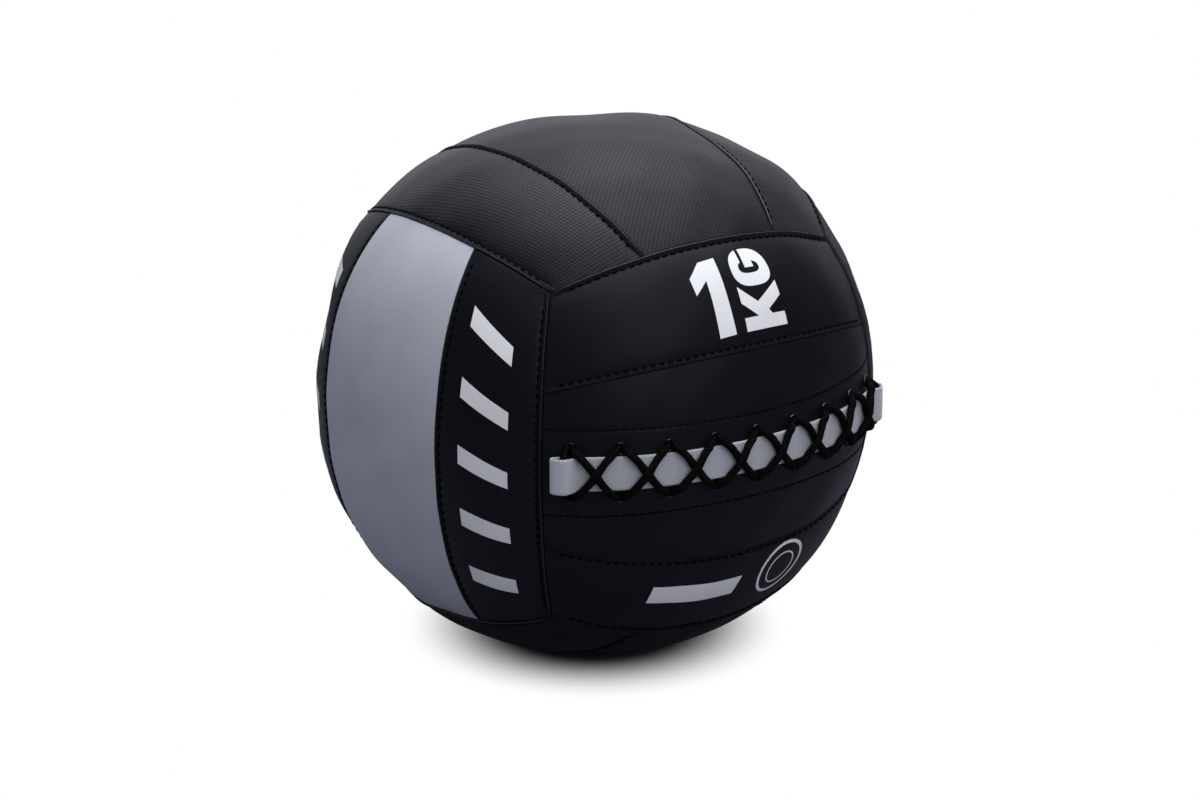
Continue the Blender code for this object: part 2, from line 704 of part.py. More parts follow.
def make_ballast(cloth, sand, cord_black):
    """Pouch of ballast in the middle of the fill, tied at its neck, which points at the slit."""
    inner = BALLAST_RADIUS + CLEARANCE
    outer = inner + POUCH_WALL
    neck_inner = POUCH_NECK_RADIUS - POUCH_WALL
    turns = even_lines(math.pi, math.asin(POUCH_NECK_RADIUS / outer), BALLAST_STEPS)[1:]
    arcs = [[(radius * math.sin(turn), radius * math.cos(turn)) for turn in turns]
            for radius in (outer, inner, BALLAST_RADIUS)]
    outer_arc, inner_arc, ballast_arc = arcs
    rim = outer + POUCH_NECK_LENGTH
    profile = [(0, -outer)] + outer_arc + [(POUCH_NECK_RADIUS, rim), (neck_inner, rim)] \
        + inner_arc[::-1] + [(0, -inner)]
    pouch = turned("ballast_pouch", profile, BALLAST_SIDES, cloth)
    ballast_profile = [(0, -BALLAST_RADIUS)] + ballast_arc + [(0, ballast_arc[-1][1])]
    ballast = turned("ballast", ballast_profile, BALLAST_SIDES, sand)
    ring_radius = POUCH_NECK_RADIUS + CLEARANCE + TIE_RADIUS
    ring_height = outer + POUCH_NECK_LENGTH / 2
    ring = [(ring_radius + TIE_RADIUS * math.cos(turn), ring_height + TIE_RADIUS * math.sin(turn))
            for turn in even_lines(0, 2 * math.pi, TIE_STEPS)[:-1]]
    tie = turned("ballast_tie", ring, BALLAST_SIDES, cord_black, True)
    for piece in (pouch, ballast, tie):
        piece.rotation_euler.x = 2 * QUARTER
        piece.location.z = CENTRE_HEIGHT


def main():
    for piece in list(bpy.data.objects):
        bpy.data.objects.remove(piece, do_unlink=True)
    black = material("cover_black", (0.016, 0.017, 0.021), 0.55)
    grey = material("cover_grey", (0.36, 0.38, 0.41), 0.5)
    hem_black = material("facing_black", (0.02, 0.02, 0.022), 0.75)
    webbing_grey = material("tongue_grey", (0.25, 0.26, 0.29), 0.8)
    cord_black = material("cord_black", (0.012, 0.012, 0.013), 0.85)
    metal = material("eyelet_gunmetal", (0.06, 0.06, 0.065), 0.35, 0.9)
    foam = material("pad_foam", (0.55, 0.55, 0.53), 0.9)
    cloth = material("bag_cloth", (0.7, 0.68, 0.62), 0.9)
    fibre = material("fill_fibre", (0.8, 0.8, 0.78), 1.0)
    sand = material("ballast_sand", (0.3, 0.24, 0.16), 0.95)
    frames = {side: [eyelet_frame(side, turn) for turn in eyelet_turns()] for side in (1, -1)}
    make_cover(black, grey)
    make_flaps(frames, black, hem_black, metal)
    make_tongue(webbing_grey)
    make_lace(frames, cord_black)
    make_pads(foam)
    make_bag_and_fill(cloth, fibre)
    make_ballast(cloth, sand, cord_black)


main()
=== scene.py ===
"""Looks of a laced wall ball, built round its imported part: stitched cover, lacing, filling and stage.

The frame is the part's own: metres, +Z up, the floor under the ball at the origin, and the laced
face looking along -Y. The cover is laid out on the six faces of a cube blown up to a ball, with
turns along and across the strips of each face.
"""

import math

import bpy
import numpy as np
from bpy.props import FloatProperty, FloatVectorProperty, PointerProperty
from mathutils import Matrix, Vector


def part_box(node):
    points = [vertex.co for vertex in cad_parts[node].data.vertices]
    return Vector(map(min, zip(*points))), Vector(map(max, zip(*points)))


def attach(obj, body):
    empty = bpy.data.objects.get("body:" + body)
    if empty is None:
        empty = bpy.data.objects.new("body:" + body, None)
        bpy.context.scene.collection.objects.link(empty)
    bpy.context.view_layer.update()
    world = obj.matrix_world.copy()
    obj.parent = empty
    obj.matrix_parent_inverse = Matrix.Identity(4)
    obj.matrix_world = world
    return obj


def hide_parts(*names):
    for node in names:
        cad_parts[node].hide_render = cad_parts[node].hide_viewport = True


bl_info = {
    "name": "Laced Wall Ball",
    "version": (1, 0, 0),
    "blender": (4, 5, 0),
    "location": "View3D > Sidebar > Wall Ball",
    "description": "Builds a wall ball's stitched cover, lacing, filling and stage round its part",
    "category": "Object",
}

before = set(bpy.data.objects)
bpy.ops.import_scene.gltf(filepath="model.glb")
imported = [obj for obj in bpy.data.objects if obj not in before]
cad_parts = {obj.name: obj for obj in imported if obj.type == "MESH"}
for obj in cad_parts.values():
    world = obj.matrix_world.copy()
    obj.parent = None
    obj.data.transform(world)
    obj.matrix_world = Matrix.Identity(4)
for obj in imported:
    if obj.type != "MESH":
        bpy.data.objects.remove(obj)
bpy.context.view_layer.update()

MM = 0.001

# Ball, as the part has it
GIRTH_RADIUS = 177 * MM
REST_SINK = 4 * MM
CLEARANCE = 0.3 * MM
SQUARENESS_SHARE = 0.078
EVEN_SHARE = 0.6
HEIGHT_SHARE = 0.993
FACE_RADIUS = GIRTH_RADIUS * (1 + SQUARENESS_SHARE * (EVEN_SHARE - 1))
CENTRE_HEIGHT = FACE_RADIUS * HEIGHT_SHARE - REST_SINK
PRESS_SOFTNESS = 1.2 * MM
QUARTER = math.radians(45)
HALF_GAP = CLEARANCE / 2

# Cover, as the part has it
SEAM_TURN = 129 * MM / 2 / FACE_RADIUS
CROWN = 1.2 * MM
PANEL_DEPTH = 3.4 * MM

# Lacing, as the part has it but for the longer slope of the tongue's folds
EYELET_PITCH = 29.4 * MM
EYELET_ROW_SPACING = 29.4 * MM
EYELET_COLUMNS = 9
LACING_RISE = 1.6 * MM
LACING_SHIFT = -0.7 * MM
SLIT_WIDTH = 6 * MM
HEM_REACH = EYELET_ROW_SPACING / 2 + 14.5 * MM
FACING_BOTTOM = PANEL_DEPTH + CLEARANCE + 1.2 * MM
EYELET_HOLE_RADIUS = 2.9 * MM
EYELET_TUBE_RADIUS = 3.4 * MM
EYELET_RADIUS = 4.1 * MM
EYELET_TOP = 1.1 * MM
EYELET_REACH = FACING_BOTTOM + 1.1 * MM
TONGUE_WIDTH = 20.5 * MM
TONGUE_THICKNESS = 1.2 * MM
TONGUE_BAR_SHIFT = 1.6 * MM
TONGUE_FOLD_REACH = 7 * MM
TONGUE_SLOPE_LENGTH = 9.5 * MM
TONGUE_RETURN_LENGTH = 2 * MM
FOLD_POWER = 0.8
LACE_DIAMETER = 4.3 * MM
LACE_GAP = 0.6 * MM
LACE_SQUEEZE_SHARE = 0.52
KNOT_LENGTH = 9 * MM
LACE_RADIUS = LACE_DIAMETER / 2
LACE_SPREAD = LACE_RADIUS * LACE_SQUEEZE_SHARE + LACE_GAP / 2
LACE_CROSS_RISE = LACE_DIAMETER + LACE_GAP
LACE_BEND_RUN = 3 * MM
FOLD_HEIGHT = TONGUE_THICKNESS + 4 * CLEARANCE + LACE_DIAMETER
TONGUE_LOW = CLEARANCE + TONGUE_THICKNESS / 2

# Lace's way from an eyelet to the middle of a run, in shares of that half of the run
BOW_SHARES = (0.1, 0.22, 0.36, 0.52, 0.7, 0.86, 1.0)
BOW_POWER = 0.6
OVER_POWER = 0.9
OVER_ARCH_SHARE = 0.2
UNDER_POWER = 0.6
CROSS_SQUEEZE_SHARE = 0.68
CROSS_START_SHARE = 0.6
BAR_LIFT = 0.5 * MM
MOUTH_SHIFT = 0.5 * MM
MOUTH_HEIGHT = EYELET_TOP + CLEARANCE
TUBE_SHARE = 0.3
BAR_BEND_SHARE = 0.45
BAR_BEND_SQUEEZE_SHARE = 0.85
INSIDE_BEND_SQUEEZE_SHARE = 0.62
TAIL_SQUEEZE_SHARE = 0.8
SPREAD_POWER = 0.4
FLATTEN_POWER = 1.4
PLAITS = 3
PLAIT_MIDDLE_SHARE = 0.85
CREST_START_SHARE = 0.88
ANY_WAY = (0.3, 0.5, 0.8)

# Tongue's edges
SELVEDGE_RISE = 0.12 * MM
SELVEDGE_INSET = 0.9 * MM
SELVEDGE_WIDTH = 0.7 * MM
TONGUE_EDGE_WIDTH = 0.6 * MM
TONGUE_EDGE_SHARE = 0.35

# Unevenness of the filling: azimuth and elevation in degrees, height, and width in degrees
FILL_LUMPS = (
    (60.0, 46.0, 3.6 * MM, 11), (52.0, -26.0, -3.0 * MM, 15), (101.0, 71.5, 3.8 * MM, 9),
    (150.0, 69.0, -2.4 * MM, 12), (-121.0, -22.0, 3.2 * MM, 13), (-125.0, 15.0, -3.0 * MM, 8),
    (-130.0, 34.0, 2.4 * MM, 7), (-104.0, -34.0, 2.6 * MM, 9), (-95.0, -47.0, 2.0 * MM, 7),
    (60.0, 9.0, 1.8 * MM, 6),
)

# Sewing
STITCH_RISE_SHARE = 0.36
STITCH_SIDES = 6
STITCH_CUT_SHARES = (-0.33, -0.12, 0.12, 0.33)
STITCH_END_SHARE = 0.4
STITCH_TAPER_SHARE = 0.6
# How far plain borders turn in, at a strip's sides and at its ends
PLAIN_DROP_SHARES = {"top": (0.4, 0.25), "bottom": (0.4, 0.25)}
USUAL_DROP_SHARES = (0.05, 0.5)
INNER_LIP_SHARE = 0.2
# A drawn-in row: more at each stitch, falling off to both sides, and a little wavy
HELD_SHARE = 0.28
ROW_INNER_SHARE = 0.62
ROW_OUTER_POWER = 2.4
ROW_WAVE_SHARE = 0.16
WAVE_REACH_SHARE = 1.9
LIP_WAVE_SHARE = 0.12
ROW_WAVES = (7.1 * MM, 11.3 * MM, 17.9 * MM)
LIP_WAVES = (13 * MM, 23 * MM, 41 * MM)
RUB_SHARE = 0.6
HEM_HELD_SHARE = 0.2
HEM_FALL_UP = 1.4 * MM
HEM_FALL_DOWN = 0.8 * MM
DIMPLE_START_SHARE = 1.1
CROWN_POWER = 4
SWELL_WAYS = ((19.0, 7.0, -11.0), (-5.0, 17.0, 13.0))
SWELL_SHIFT = 1.3
RIPPLE_SHIFT = 1.7

# Shine of the cover
COOL_TINT = (0.88, 0.91, 1.0, 1.0)
COAT_SHARE = 0.34
CREST_SHARE = 0.9
LIP_DULLNESS = 0.3
SHARP_TURN = math.radians(50)
TONGUE_SHARP_TURN = math.radians(60)
EYELET_SHARP_TURN = math.radians(40)

# Pitches of the cloths' threads and grain
SCRIM_PITCH = 2.4 * MM
PEBBLE = 0.6 * MM
WARP_PITCH = 1.15 * MM
WEFT_PITCH = 0.55 * MM

# Mesh steps
ALONG_STEP = 1.9 * MM
ACROSS_STEP = 2.4 * MM
HEM_STEP = 0.5 * MM
HEM_BEFORE = 8 * HEM_STEP
HEM_PAST = 2 * HEM_STEP
FLAP_STEP = 1.3 * MM
LACE_STEP = 0.8 * MM
LACE_SIDES = 30
EYELET_SIDES = 28
FOLD_STEPS = 26
TONGUE_STEP = 1.5 * MM
TONGUE_COLUMNS = 25
MARK_STEP = 2.5 * MM
PROBE_STEP = 1 * MM
ROUTE_STEPS = 4
ROW_STEPS = 1200
NEAR = 0.01 * MM

# Shares of a border's width at which its mesh lines lie
EDGE_SHARES = (0.0, 0.05, 0.13, 0.24, 0.38, 0.55, 0.75, 1.0)
LIP_SHARES = (0.0, 0.02, 0.05, 0.09, 0.14, 0.2, 0.27, 0.36, 0.48, 0.6, 0.72, 0.82, 0.9, 0.96, 1.0,
              1.04, 1.1, 1.2, 1.34, 1.54, 1.8)

AXES = {
    "front": ((0, -1, 0), (1, 0, 0), (0, 0, 1)),
    "rear": ((0, 1, 0), (1, 0, 0), (0, 0, 1)),
    "left": ((-1, 0, 0), (0, 0, 1), (0, 1, 0)),
    "right": ((1, 0, 0), (0, 0, 1), (0, 1, 0)),
    "top": ((0, 0, 1), (0, 1, 0), (1, 0, 0)),
    "bottom": ((0, 0, -1), (0, 1, 0), (1, 0, 0)),
}
FACES = {face: tuple(np.array(axis, float) for axis in axes) for face, axes in AXES.items()}
STRIP_NAMES = {
    "front": ("panel_lower", None, "panel_upper"),
    "rear": ("panel_lower", "panel_middle", "panel_upper"),
    "left": ("panel_front", "panel_middle", "panel_rear"),
    "right": ("panel_front", "panel_middle", "panel_rear"),
    "top": ("panel_left", "panel_middle", "panel_right"),
    "bottom": ("panel_left", "panel_middle", "panel_right"),
}


# Settings
def length(label, hint, value):
    return FloatProperty(name=label, description=hint, default=value, unit="LENGTH", min=0, precision=5)


def angle(label, hint, degrees):
    return FloatProperty(name=label, description=hint, default=math.radians(degrees), subtype="ANGLE")


def share_of(label, hint, value):
    return FloatProperty(name=label, description=hint, default=value, subtype="FACTOR", min=0, max=1)


def power(label, hint, value):
    return FloatProperty(name=label, description=hint, default=value, unit="POWER", min=0)


def tint(label, hint, value):
    return FloatVectorProperty(name=label, description=hint, default=value, subtype="COLOR", size=3,
                               min=0, max=2)


def colour(label, value):
    return tint(label, "Base colour of the " + label.lower(), value)


class BallColours(bpy.types.PropertyGroup):
    """Colours of the ball's materials"""

    black: colour("Black strips", (0.0042, 0.0045, 0.0068))
    grey: colour("Grey strips", (0.41, 0.425, 0.455))
    webbing: colour("Tongue", (0.47, 0.485, 0.52))
    cord: colour("Lace", (0.0026, 0.0021, 0.0020))
    fleck: colour("Lace's paler flecks", (0.016, 0.015, 0.015))
    thread: colour("Thread", (0.0006, 0.0006, 0.0008))
    metal: colour("Eyelets", (0.045, 0.045, 0.05))
    mark: colour("Printed marks", (0.74, 0.735, 0.73))
    foam: colour("Foam", (0.022, 0.022, 0.024))
    cotton: colour("Bag cloth", (0.70, 0.68, 0.62))
    fibre: colour("Fibre fill", (0.80, 0.80, 0.78))
    sand: colour("Ballast", (0.30, 0.24, 0.16))


class CoverSizes(bpy.types.PropertyGroup):
    """Sizes of the cover's seams and stitches"""

    lip_width: length("Lip width", "Distance from a sewn border to its row of stitches", 3.4 * MM)
    lip_rise: length("Lip rise", "How far the lip stands over the strip", 1.4 * MM)
    lip_edge: length("Lip edge", "Width of the lip's rounded edge", 0.9 * MM)
    groove_drop: length("Groove depth", "How far a border turns down into its seam", 2.3 * MM)
    seam_pull: length("Seam pull", "How much farther than in the part the seams draw the cover in", 0.8 * MM)
    least_padding: length("Least padding", "Padding that is left under the bottom of a seam", 0.25 * MM)
    shoulder_width: length("Shoulder width", "Width of a plain border's rounded edge", 1.4 * MM)
    stitch_sink: length("Stitch sink", "How far a row of stitches is drawn in", 0.7 * MM)
    stitch_length: length("Stitch length", "Length of one stitch", 3.7 * MM)
    stitch_pitch: length("Stitch pitch", "Distance from stitch to stitch", 5.6 * MM)
    thread_diameter: length("Thread diameter", "Diameter of the sewing thread", 1.05 * MM)
    hem_distance: length("Hem distance", "Distance of the upper flap's hem line from the slit", 25.3 * MM)
    hem_drop: length("Hem drop", "How much farther down the lower flap's hem line lies", 2.2 * MM)
    hem_thread: length("Hem thread", "Diameter of the thread along the hems", 0.8 * MM)
    hem_stitch: length("Hem stitch", "Length of one stitch of the hems", 5.3 * MM)
    hem_sink: length("Hem sink", "How far a hem's sewn line is drawn in", 0.45 * MM)
    swell: length("Swell", "Unevenness of the padding under the cover", 0.35 * MM)


class LacingSizes(bpy.types.PropertyGroup):
    """Sizes of the lacing's finish"""

    lace_diameter: length("Lace diameter", "Diameter of the lace, plaits and all", 4.7 * MM)
    arch_rise: length("Arch rise", "How far the lace arches up as it leaves an eyelet", 2.1 * MM)
    bow_aside: length("Bow aside", "How far the lace bows aside as it leaves an eyelet", 1.6 * MM)
    flange_width: length("Flange width", "Width of an eyelet's rolled flange in sight", 0.45 * MM)
    braid_relief: length("Braid relief", "Height of the lace's plaits", 0.24 * MM)
    braid_pitch: length("Braid pitch", "Length of one plait along the lace", 4.6 * MM)
    eyelet_dimple: length("Eyelet dimple", "How far an eyelet draws the flap in", 0.3 * MM)


class StageSettings(bpy.types.PropertyGroup):
    """Camera and lamps"""

    azimuth: angle("Camera azimuth", "Turn of the camera round the ball", -34.80)
    elevation: angle("Camera elevation", "Height of the camera as an angle", 18.37)
    distance: length("Camera distance", "Distance from the ball's centre", 11.64 * GIRTH_RADIUS)
    lens: FloatProperty(name="Lens", description="Focal length", unit="CAMERA", default=96.5)
    key_power: power("Top lamp", "Power of the lamp overhead", 23.0)
    front_power: power("Front lamp", "Power of the lamp at the front", 6.2)
    lamp_tint: tint("Lamp tint", "Colour of the lamp overhead", (0.90, 0.925, 1.0))
    sky: share_of("Room light", "Strength of the light from all round", 0.42)
    sky_tint: tint("Room tint", "Colour of the light from all round", (0.96, 0.98, 1.08))
    bounce: tint("Floor bounce", "Colour of the light that the floor gives back", (0.17, 0.175, 0.23))
    backdrop: angle("Backdrop side", "Turn of the white backdrop round the ball", 145)
    near_shine: share_of("Near shine", "How bright reflections see the room's near side", 0.07)
    floor_shine: share_of("Floor shine", "How bright reflections see the floor", 0.09)


# Shape of the ball
def unit(vectors):
    return vectors / np.linalg.norm(vectors, axis=-1, keepdims=True)


def toward(face, along_turn, across_turn):
    """Unit directions on a face, from turns along and across its strips."""
    normal, along, across = FACES[face]
    return unit(normal + np.tan(along_turn)[..., None] * along + np.tan(across_turn)[..., None] * across)


def compass(azimuth, elevation):
    """Unit direction from an azimuth, counted from the laced face, and an elevation."""
    flat = math.cos(elevation)
    return np.array((math.sin(azimuth) * flat, -math.cos(azimuth) * flat, math.sin(elevation)))


def lumps(way):
    """How far the filling lifts the cover, or lets it sink, in each direction."""
    lift = np.zeros(way.shape[:-1])
    for azimuth, elevation, height, width in FILL_LUMPS:
        away = np.arccos(np.clip(way @ compass(math.radians(azimuth), math.radians(elevation)), -1, 1))
        lift += height * np.exp(-(away / math.radians(width)) ** 2)
    return lift


def rounded(way, depth):
    """Points of the ball's rounded shape at a depth, pressed flat where it meets the floor."""
    quartic = (way ** 4).sum(axis=-1)
    radius = GIRTH_RADIUS * (1 + SQUARENESS_SHARE * (EVEN_SHARE - quartic)) - depth
    points = way * radius[..., None]
    floor = np.maximum(depth, 0)
    over = points[..., 2] * HEIGHT_SHARE + CENTRE_HEIGHT - floor
    points[..., 2] = floor + (over + np.sqrt(over ** 2 + PRESS_SOFTNESS ** 2)) / 2
    return points


def along_rate(along_turn, across_turn):
    """Distance on the ball for a small turn along the strips."""
    square, other = 1 + np.tan(along_turn) ** 2, 1 + np.tan(across_turn) ** 2
    return GIRTH_RADIUS * square * np.sqrt(other) / (square + other - 1)


def front_way(along, across):
    """Direction on the laced face, from distances along and across the slit."""
    along_turn = (np.asarray(along, float) + LACING_SHIFT) / FACE_RADIUS
    across_turn = (np.asarray(across, float) + LACING_RISE) / FACE_RADIUS
    flat = np.cos(across_turn)
    return np.stack([np.sin(along_turn) * flat, -np.cos(along_turn) * flat, np.sin(across_turn)], axis=-1)


def on_front(along, across, height):
    """Points over the laced face, by distances along and across the slit."""
    along, across, height = np.broadcast_arrays(along, across, height)
    return rounded(front_way(along, across), -np.asarray(height, float))


def column_along(column):
    return (column - (EYELET_COLUMNS - 1) / 2) * EYELET_PITCH


def half_slit(along_turn):
    """Half the slit's width, which closes towards both ends."""
    return SLIT_WIDTH / 2 * (1 - np.minimum(1, np.abs(along_turn) / QUARTER) ** 2)


class SeamLine:
    """A border that keeps its turn across the face, as a great circle."""

    def __init__(self, turn):
        self.turn = turn

    def across(self, along_turn):
        return np.full_like(along_turn, self.turn)

    def past(self, face, way, along_turn):
        normal, _, across = FACES[face]
        return GIRTH_RADIUS * np.arcsin(way @ (across * math.cos(self.turn) - normal * math.sin(self.turn)))

    def run(self, face, way):
        normal, along, across = FACES[face]
        middle = normal * math.cos(self.turn) + across * math.sin(self.turn)
        return GIRTH_RADIUS * np.arctan2(way @ along, way @ middle)


class SlitLine:
    """A line beside the slit of the laced face, at a distance from its middle or from its edge."""

    def __init__(self, side, distance=0.0, from_edge=False):
        self.side = side
        self.distance = distance
        self.from_edge = from_edge

    def reach(self, along_turn):
        edge = half_slit(along_turn) if self.from_edge else 0
        return self.side * (self.distance + edge) + LACING_RISE

    def across(self, along_turn):
        return np.arctan(np.tan(self.reach(along_turn) / FACE_RADIUS) / np.cos(along_turn))

    def past(self, face, way, along_turn):
        return FACE_RADIUS * np.arcsin(way[..., 2]) - self.reach(along_turn)

    def run(self, face, way):
        return FACE_RADIUS * np.arctan2(way[..., 0], -way[..., 1])


def ripples(run, seed, lengths):
    """Small steady waves along a line, summed from a few lengths."""
    wave = np.zeros_like(run)
    for index, step in enumerate(lengths):
        wave += np.sin(2 * math.pi * run / step + seed * (index + 1) * RIPPLE_SHIFT)
    return wave / len(lengths)


class Strip:
    """A strip of the cover: where its borders lie, and how far the lip of each sewn one rises."""

    def __init__(self, node, face, low, high, span, sewn, hem_side=0):
        self.node = node
        self.face = face
        self.low = low
        self.high = high
        self.span = span
        self.sewn = sewn
        self.hem_side = hem_side
        self.seed = sum(ord(letter) for letter in node)

    def crown(self, along_turn, across_turn):
        middle, half = sum(self.span) / 2, (self.span[1] - self.span[0]) / 2
        across_share = np.minimum(1, np.abs(across_turn - middle) / half)
        along_share = np.minimum(1, np.abs(along_turn) / QUARTER)
        return CROWN * (1 - (1 - across_share ** 2) * (1 - along_share ** CROWN_POWER))

    def borders(self, way, along_turn):
        """Distance from the low, high, first and last border."""
        normal, along, _ = FACES[self.face]
        low = self.low.past(self.face, way, along_turn)
        high = -self.high.past(self.face, way, along_turn)
        ends = []
        for sign in (-1, 1):
            turn = sign * QUARTER
            ends.append(-sign * GIRTH_RADIUS
                        * np.arcsin(way @ (along * math.cos(turn) - normal * math.sin(turn))))
        return low, high, ends[0], ends[1]

    def relief(self, way, along_turn):
        """How far the skin stands over its crown, how much it turns in, and its rubbed and dull places."""
        sizes = bpy.context.scene.cover_sizes
        side_drop, end_drop = PLAIN_DROP_SHARES.get(self.face, USUAL_DROP_SHARES)
        low, high, first, last = self.borders(way, along_turn)
        drops, lift = [], np.zeros_like(low)
        fade = np.clip(np.minimum(first, last) / (2 * sizes.lip_width), 0, 1)
        rub, fold = np.zeros_like(low), np.zeros_like(low)
        for distance, line, sewn in ((low, self.low, self.sewn[0]), (high, self.high, self.sewn[1])):
            width = sizes.lip_edge if sewn else sizes.shoulder_width
            drops.append(rounding(distance, width) * (1 if sewn else side_drop))
            if sewn:
                row, lip = self.row_of(distance, line.run(self.face, way))
                lift += (lip * sewn - row) * fade
                if sewn == 1:
                    crest = bell(distance - sizes.lip_edge / 2, RUB_SHARE * sizes.lip_edge)
                    rub = np.maximum(rub, crest * fade)
                fold = np.maximum(fold, np.clip((sizes.lip_width - distance) / sizes.lip_edge, 0, 1))
        for distance in (first, last):
            drops.append(rounding(distance, sizes.shoulder_width) * end_drop)
        if self.hem_side:
            lift -= self.hem(way, along_turn)
            lift -= self.dimples(way)
        turn_in = np.minimum(1, np.sqrt(sum(part ** 2 for part in drops)))
        return lift, turn_in, rub - (1 - rub) * fold

    def row_of(self, distance, run):
        """Depth of the drawn-in row of stitches and rise of the lip outside it."""
        sizes = bpy.context.scene.cover_sizes
        past = distance - sizes.lip_width
        held = 1 + HELD_SHARE * np.cos(2 * math.pi * run / sizes.stitch_pitch)
        inner = np.exp(-np.maximum(past, 0) / (ROW_INNER_SHARE * sizes.lip_width))
        outer = np.clip(1 + past / sizes.lip_width, 0, 1) ** ROW_OUTER_POWER
        row = sizes.stitch_sink * inner * outer * held
        fade = np.exp(-np.maximum(past, 0) / (WAVE_REACH_SHARE * sizes.lip_width))
        fade *= np.clip(past / sizes.lip_width, 0, 1)
        row += ROW_WAVE_SHARE * sizes.stitch_sink * ripples(run, self.seed, ROW_WAVES) * fade
        lip = sizes.lip_rise * (1 - np.clip(distance / sizes.lip_width, 0, 1))
        lip *= 1 + LIP_WAVE_SHARE * ripples(run, self.seed + 5, LIP_WAVES)
        return row, lip

    def hem(self, way, along_turn):
        """Depth of the sewn line that holds a flap's folded hem."""
        sizes = bpy.context.scene.cover_sizes
        line = hem_line(self.hem_side)
        past = self.hem_side * line.past(self.face, way, along_turn)
        run = line.run(self.face, way)
        held = 1 + HEM_HELD_SHARE * np.cos(2 * math.pi * run / sizes.stitch_pitch)
        return sizes.hem_sink * held * np.exp(-np.abs(past) / np.where(past > 0, HEM_FALL_UP, HEM_FALL_DOWN))

    def dimples(self, way):
        """Depth of the dimples round a flap's eyelets."""
        dimple = bpy.context.scene.lacing_sizes.eyelet_dimple
        total = np.zeros(way.shape[:-1])
        for column in range(EYELET_COLUMNS):
            centre = front_way(column_along(column), self.hem_side * EYELET_ROW_SPACING / 2)
            away = np.linalg.norm(way - centre, axis=-1) * FACE_RADIUS
            share = np.clip((away - EYELET_RADIUS * DIMPLE_START_SHARE) / EYELET_RADIUS, 0, 1)
            total += dimple * (1 + np.cos(math.pi * share)) / 2
        return total

    def skin(self, along_turn, across_turn, height=0.0):
        """Points of the strip's outer skin, or over it, and how much each place is rubbed."""
        along_turn, across_turn = np.broadcast_arrays(along_turn, across_turn)
        way = toward(self.face, along_turn, across_turn)
        lift, turn_in, rub = self.relief(way, along_turn)
        sizes = bpy.context.scene.cover_sizes
        uneven = np.sin(way @ np.array(SWELL_WAYS[0]) + SWELL_SHIFT) * np.sin(way @ np.array(SWELL_WAYS[1]))
        crown = self.crown(along_turn, across_turn) * (1 + sizes.seam_pull / CROWN)
        depth = crown - lift - sizes.swell * uneven - lumps(way)
        depth += turn_in * np.clip(PANEL_DEPTH - sizes.least_padding - depth, 0, sizes.groove_drop)
        return rounded(way, depth - height), rub

    def rows(self, along_turn):
        """Turns across the strip of its mesh lines, for each turn along it."""
        low, high = self.low.across(along_turn), self.high.across(along_turn)
        low_steps, high_steps = (self.edge_steps(sewn) for sewn in self.sewn)
        if self.hem_side:
            fine = hem_line(self.hem_side).distance - HEM_BEFORE
            hem = np.concatenate([np.arange(low_steps[-1] + FLAP_STEP, fine, FLAP_STEP),
                                  np.arange(fine, HEM_REACH + HEM_PAST, HEM_STEP)])
            if self.hem_side > 0:
                low_steps = np.concatenate([low_steps, hem])
            else:
                high_steps = np.concatenate([high_steps, hem])
        low_rate = along_rate(low, along_turn)[..., None]
        high_rate = along_rate(high, along_turn)[..., None]
        from_low = low[..., None] + (HALF_GAP + low_steps) / low_rate
        from_high = high[..., None] - (HALF_GAP + high_steps[::-1]) / high_rate
        width = (from_high[..., 0] - from_low[..., -1]).max() * GIRTH_RADIUS
        count = max(2, int(width / ACROSS_STEP))
        shares = np.arange(1, count) / count
        between = from_low[..., -1:] + (from_high[..., :1] - from_low[..., -1:]) * shares
        return np.concatenate([from_low, between, from_high], axis=-1)

    def edge_steps(self, sewn):
        sizes = bpy.context.scene.cover_sizes
        if sewn:
            return np.array(LIP_SHARES) * sizes.lip_width
        return np.array(EDGE_SHARES) * sizes.shoulder_width

    def grid(self):
        """Turns along and across the strip at its mesh's crossings."""
        sizes = bpy.context.scene.cover_sizes
        steps = np.array(EDGE_SHARES) * sizes.shoulder_width
        inner = QUARTER - (steps[-1] + HALF_GAP) / GIRTH_RADIUS
        count = int(2 * inner * FACE_RADIUS / ALONG_STEP)
        middle = np.linspace(-inner, inner, count)
        along = np.concatenate([np.full(len(steps) - 1, -QUARTER), middle, np.full(len(steps) - 1, QUARTER)])
        inset = np.concatenate([HALF_GAP + steps[:-1], np.zeros(count), -HALF_GAP - steps[:-1][::-1]])
        across = self.rows(along)
        along_turn = along[:, None] + inset[:, None] / along_rate(along[:, None], across)
        across_turn = np.empty_like(across)
        for column in range(across.shape[1]):
            across_turn[:, column] = self.rows(along_turn[:, column])[:, column]
        return along_turn, across_turn


def rounding(distance, width):
    """Share of the drop at a distance from a rounded edge of some width."""
    share = np.clip(1 - distance / width, 0, 1)
    return 1 - np.sqrt(1 - share ** 2)


def bell(distance, width):
    return np.exp(-(distance / width) ** 2)


def strips():
    """All the strips of the cover but the laced flaps."""
    found = []
    lines = [SeamLine(turn) for turn in (-QUARTER, -SEAM_TURN, SEAM_TURN, QUARTER)]
    for face, names in STRIP_NAMES.items():
        rise = 1 if face == "top" else INNER_LIP_SHARE
        for index, sewn in ((0, (1, rise)), (2, (rise, 1)), (1, (0, 0))):
            if names[index]:
                low, high = lines[index:index + 2]
                node = face + "_" + names[index]
                found.append(Strip(node, face, low, high, (low.turn, high.turn), sewn))
    return found


def hem_line(side):
    """The sewn line along a flap's folded hem."""
    sizes = bpy.context.scene.cover_sizes
    return SlitLine(side, sizes.hem_distance + (sizes.hem_drop if side < 0 else 0))


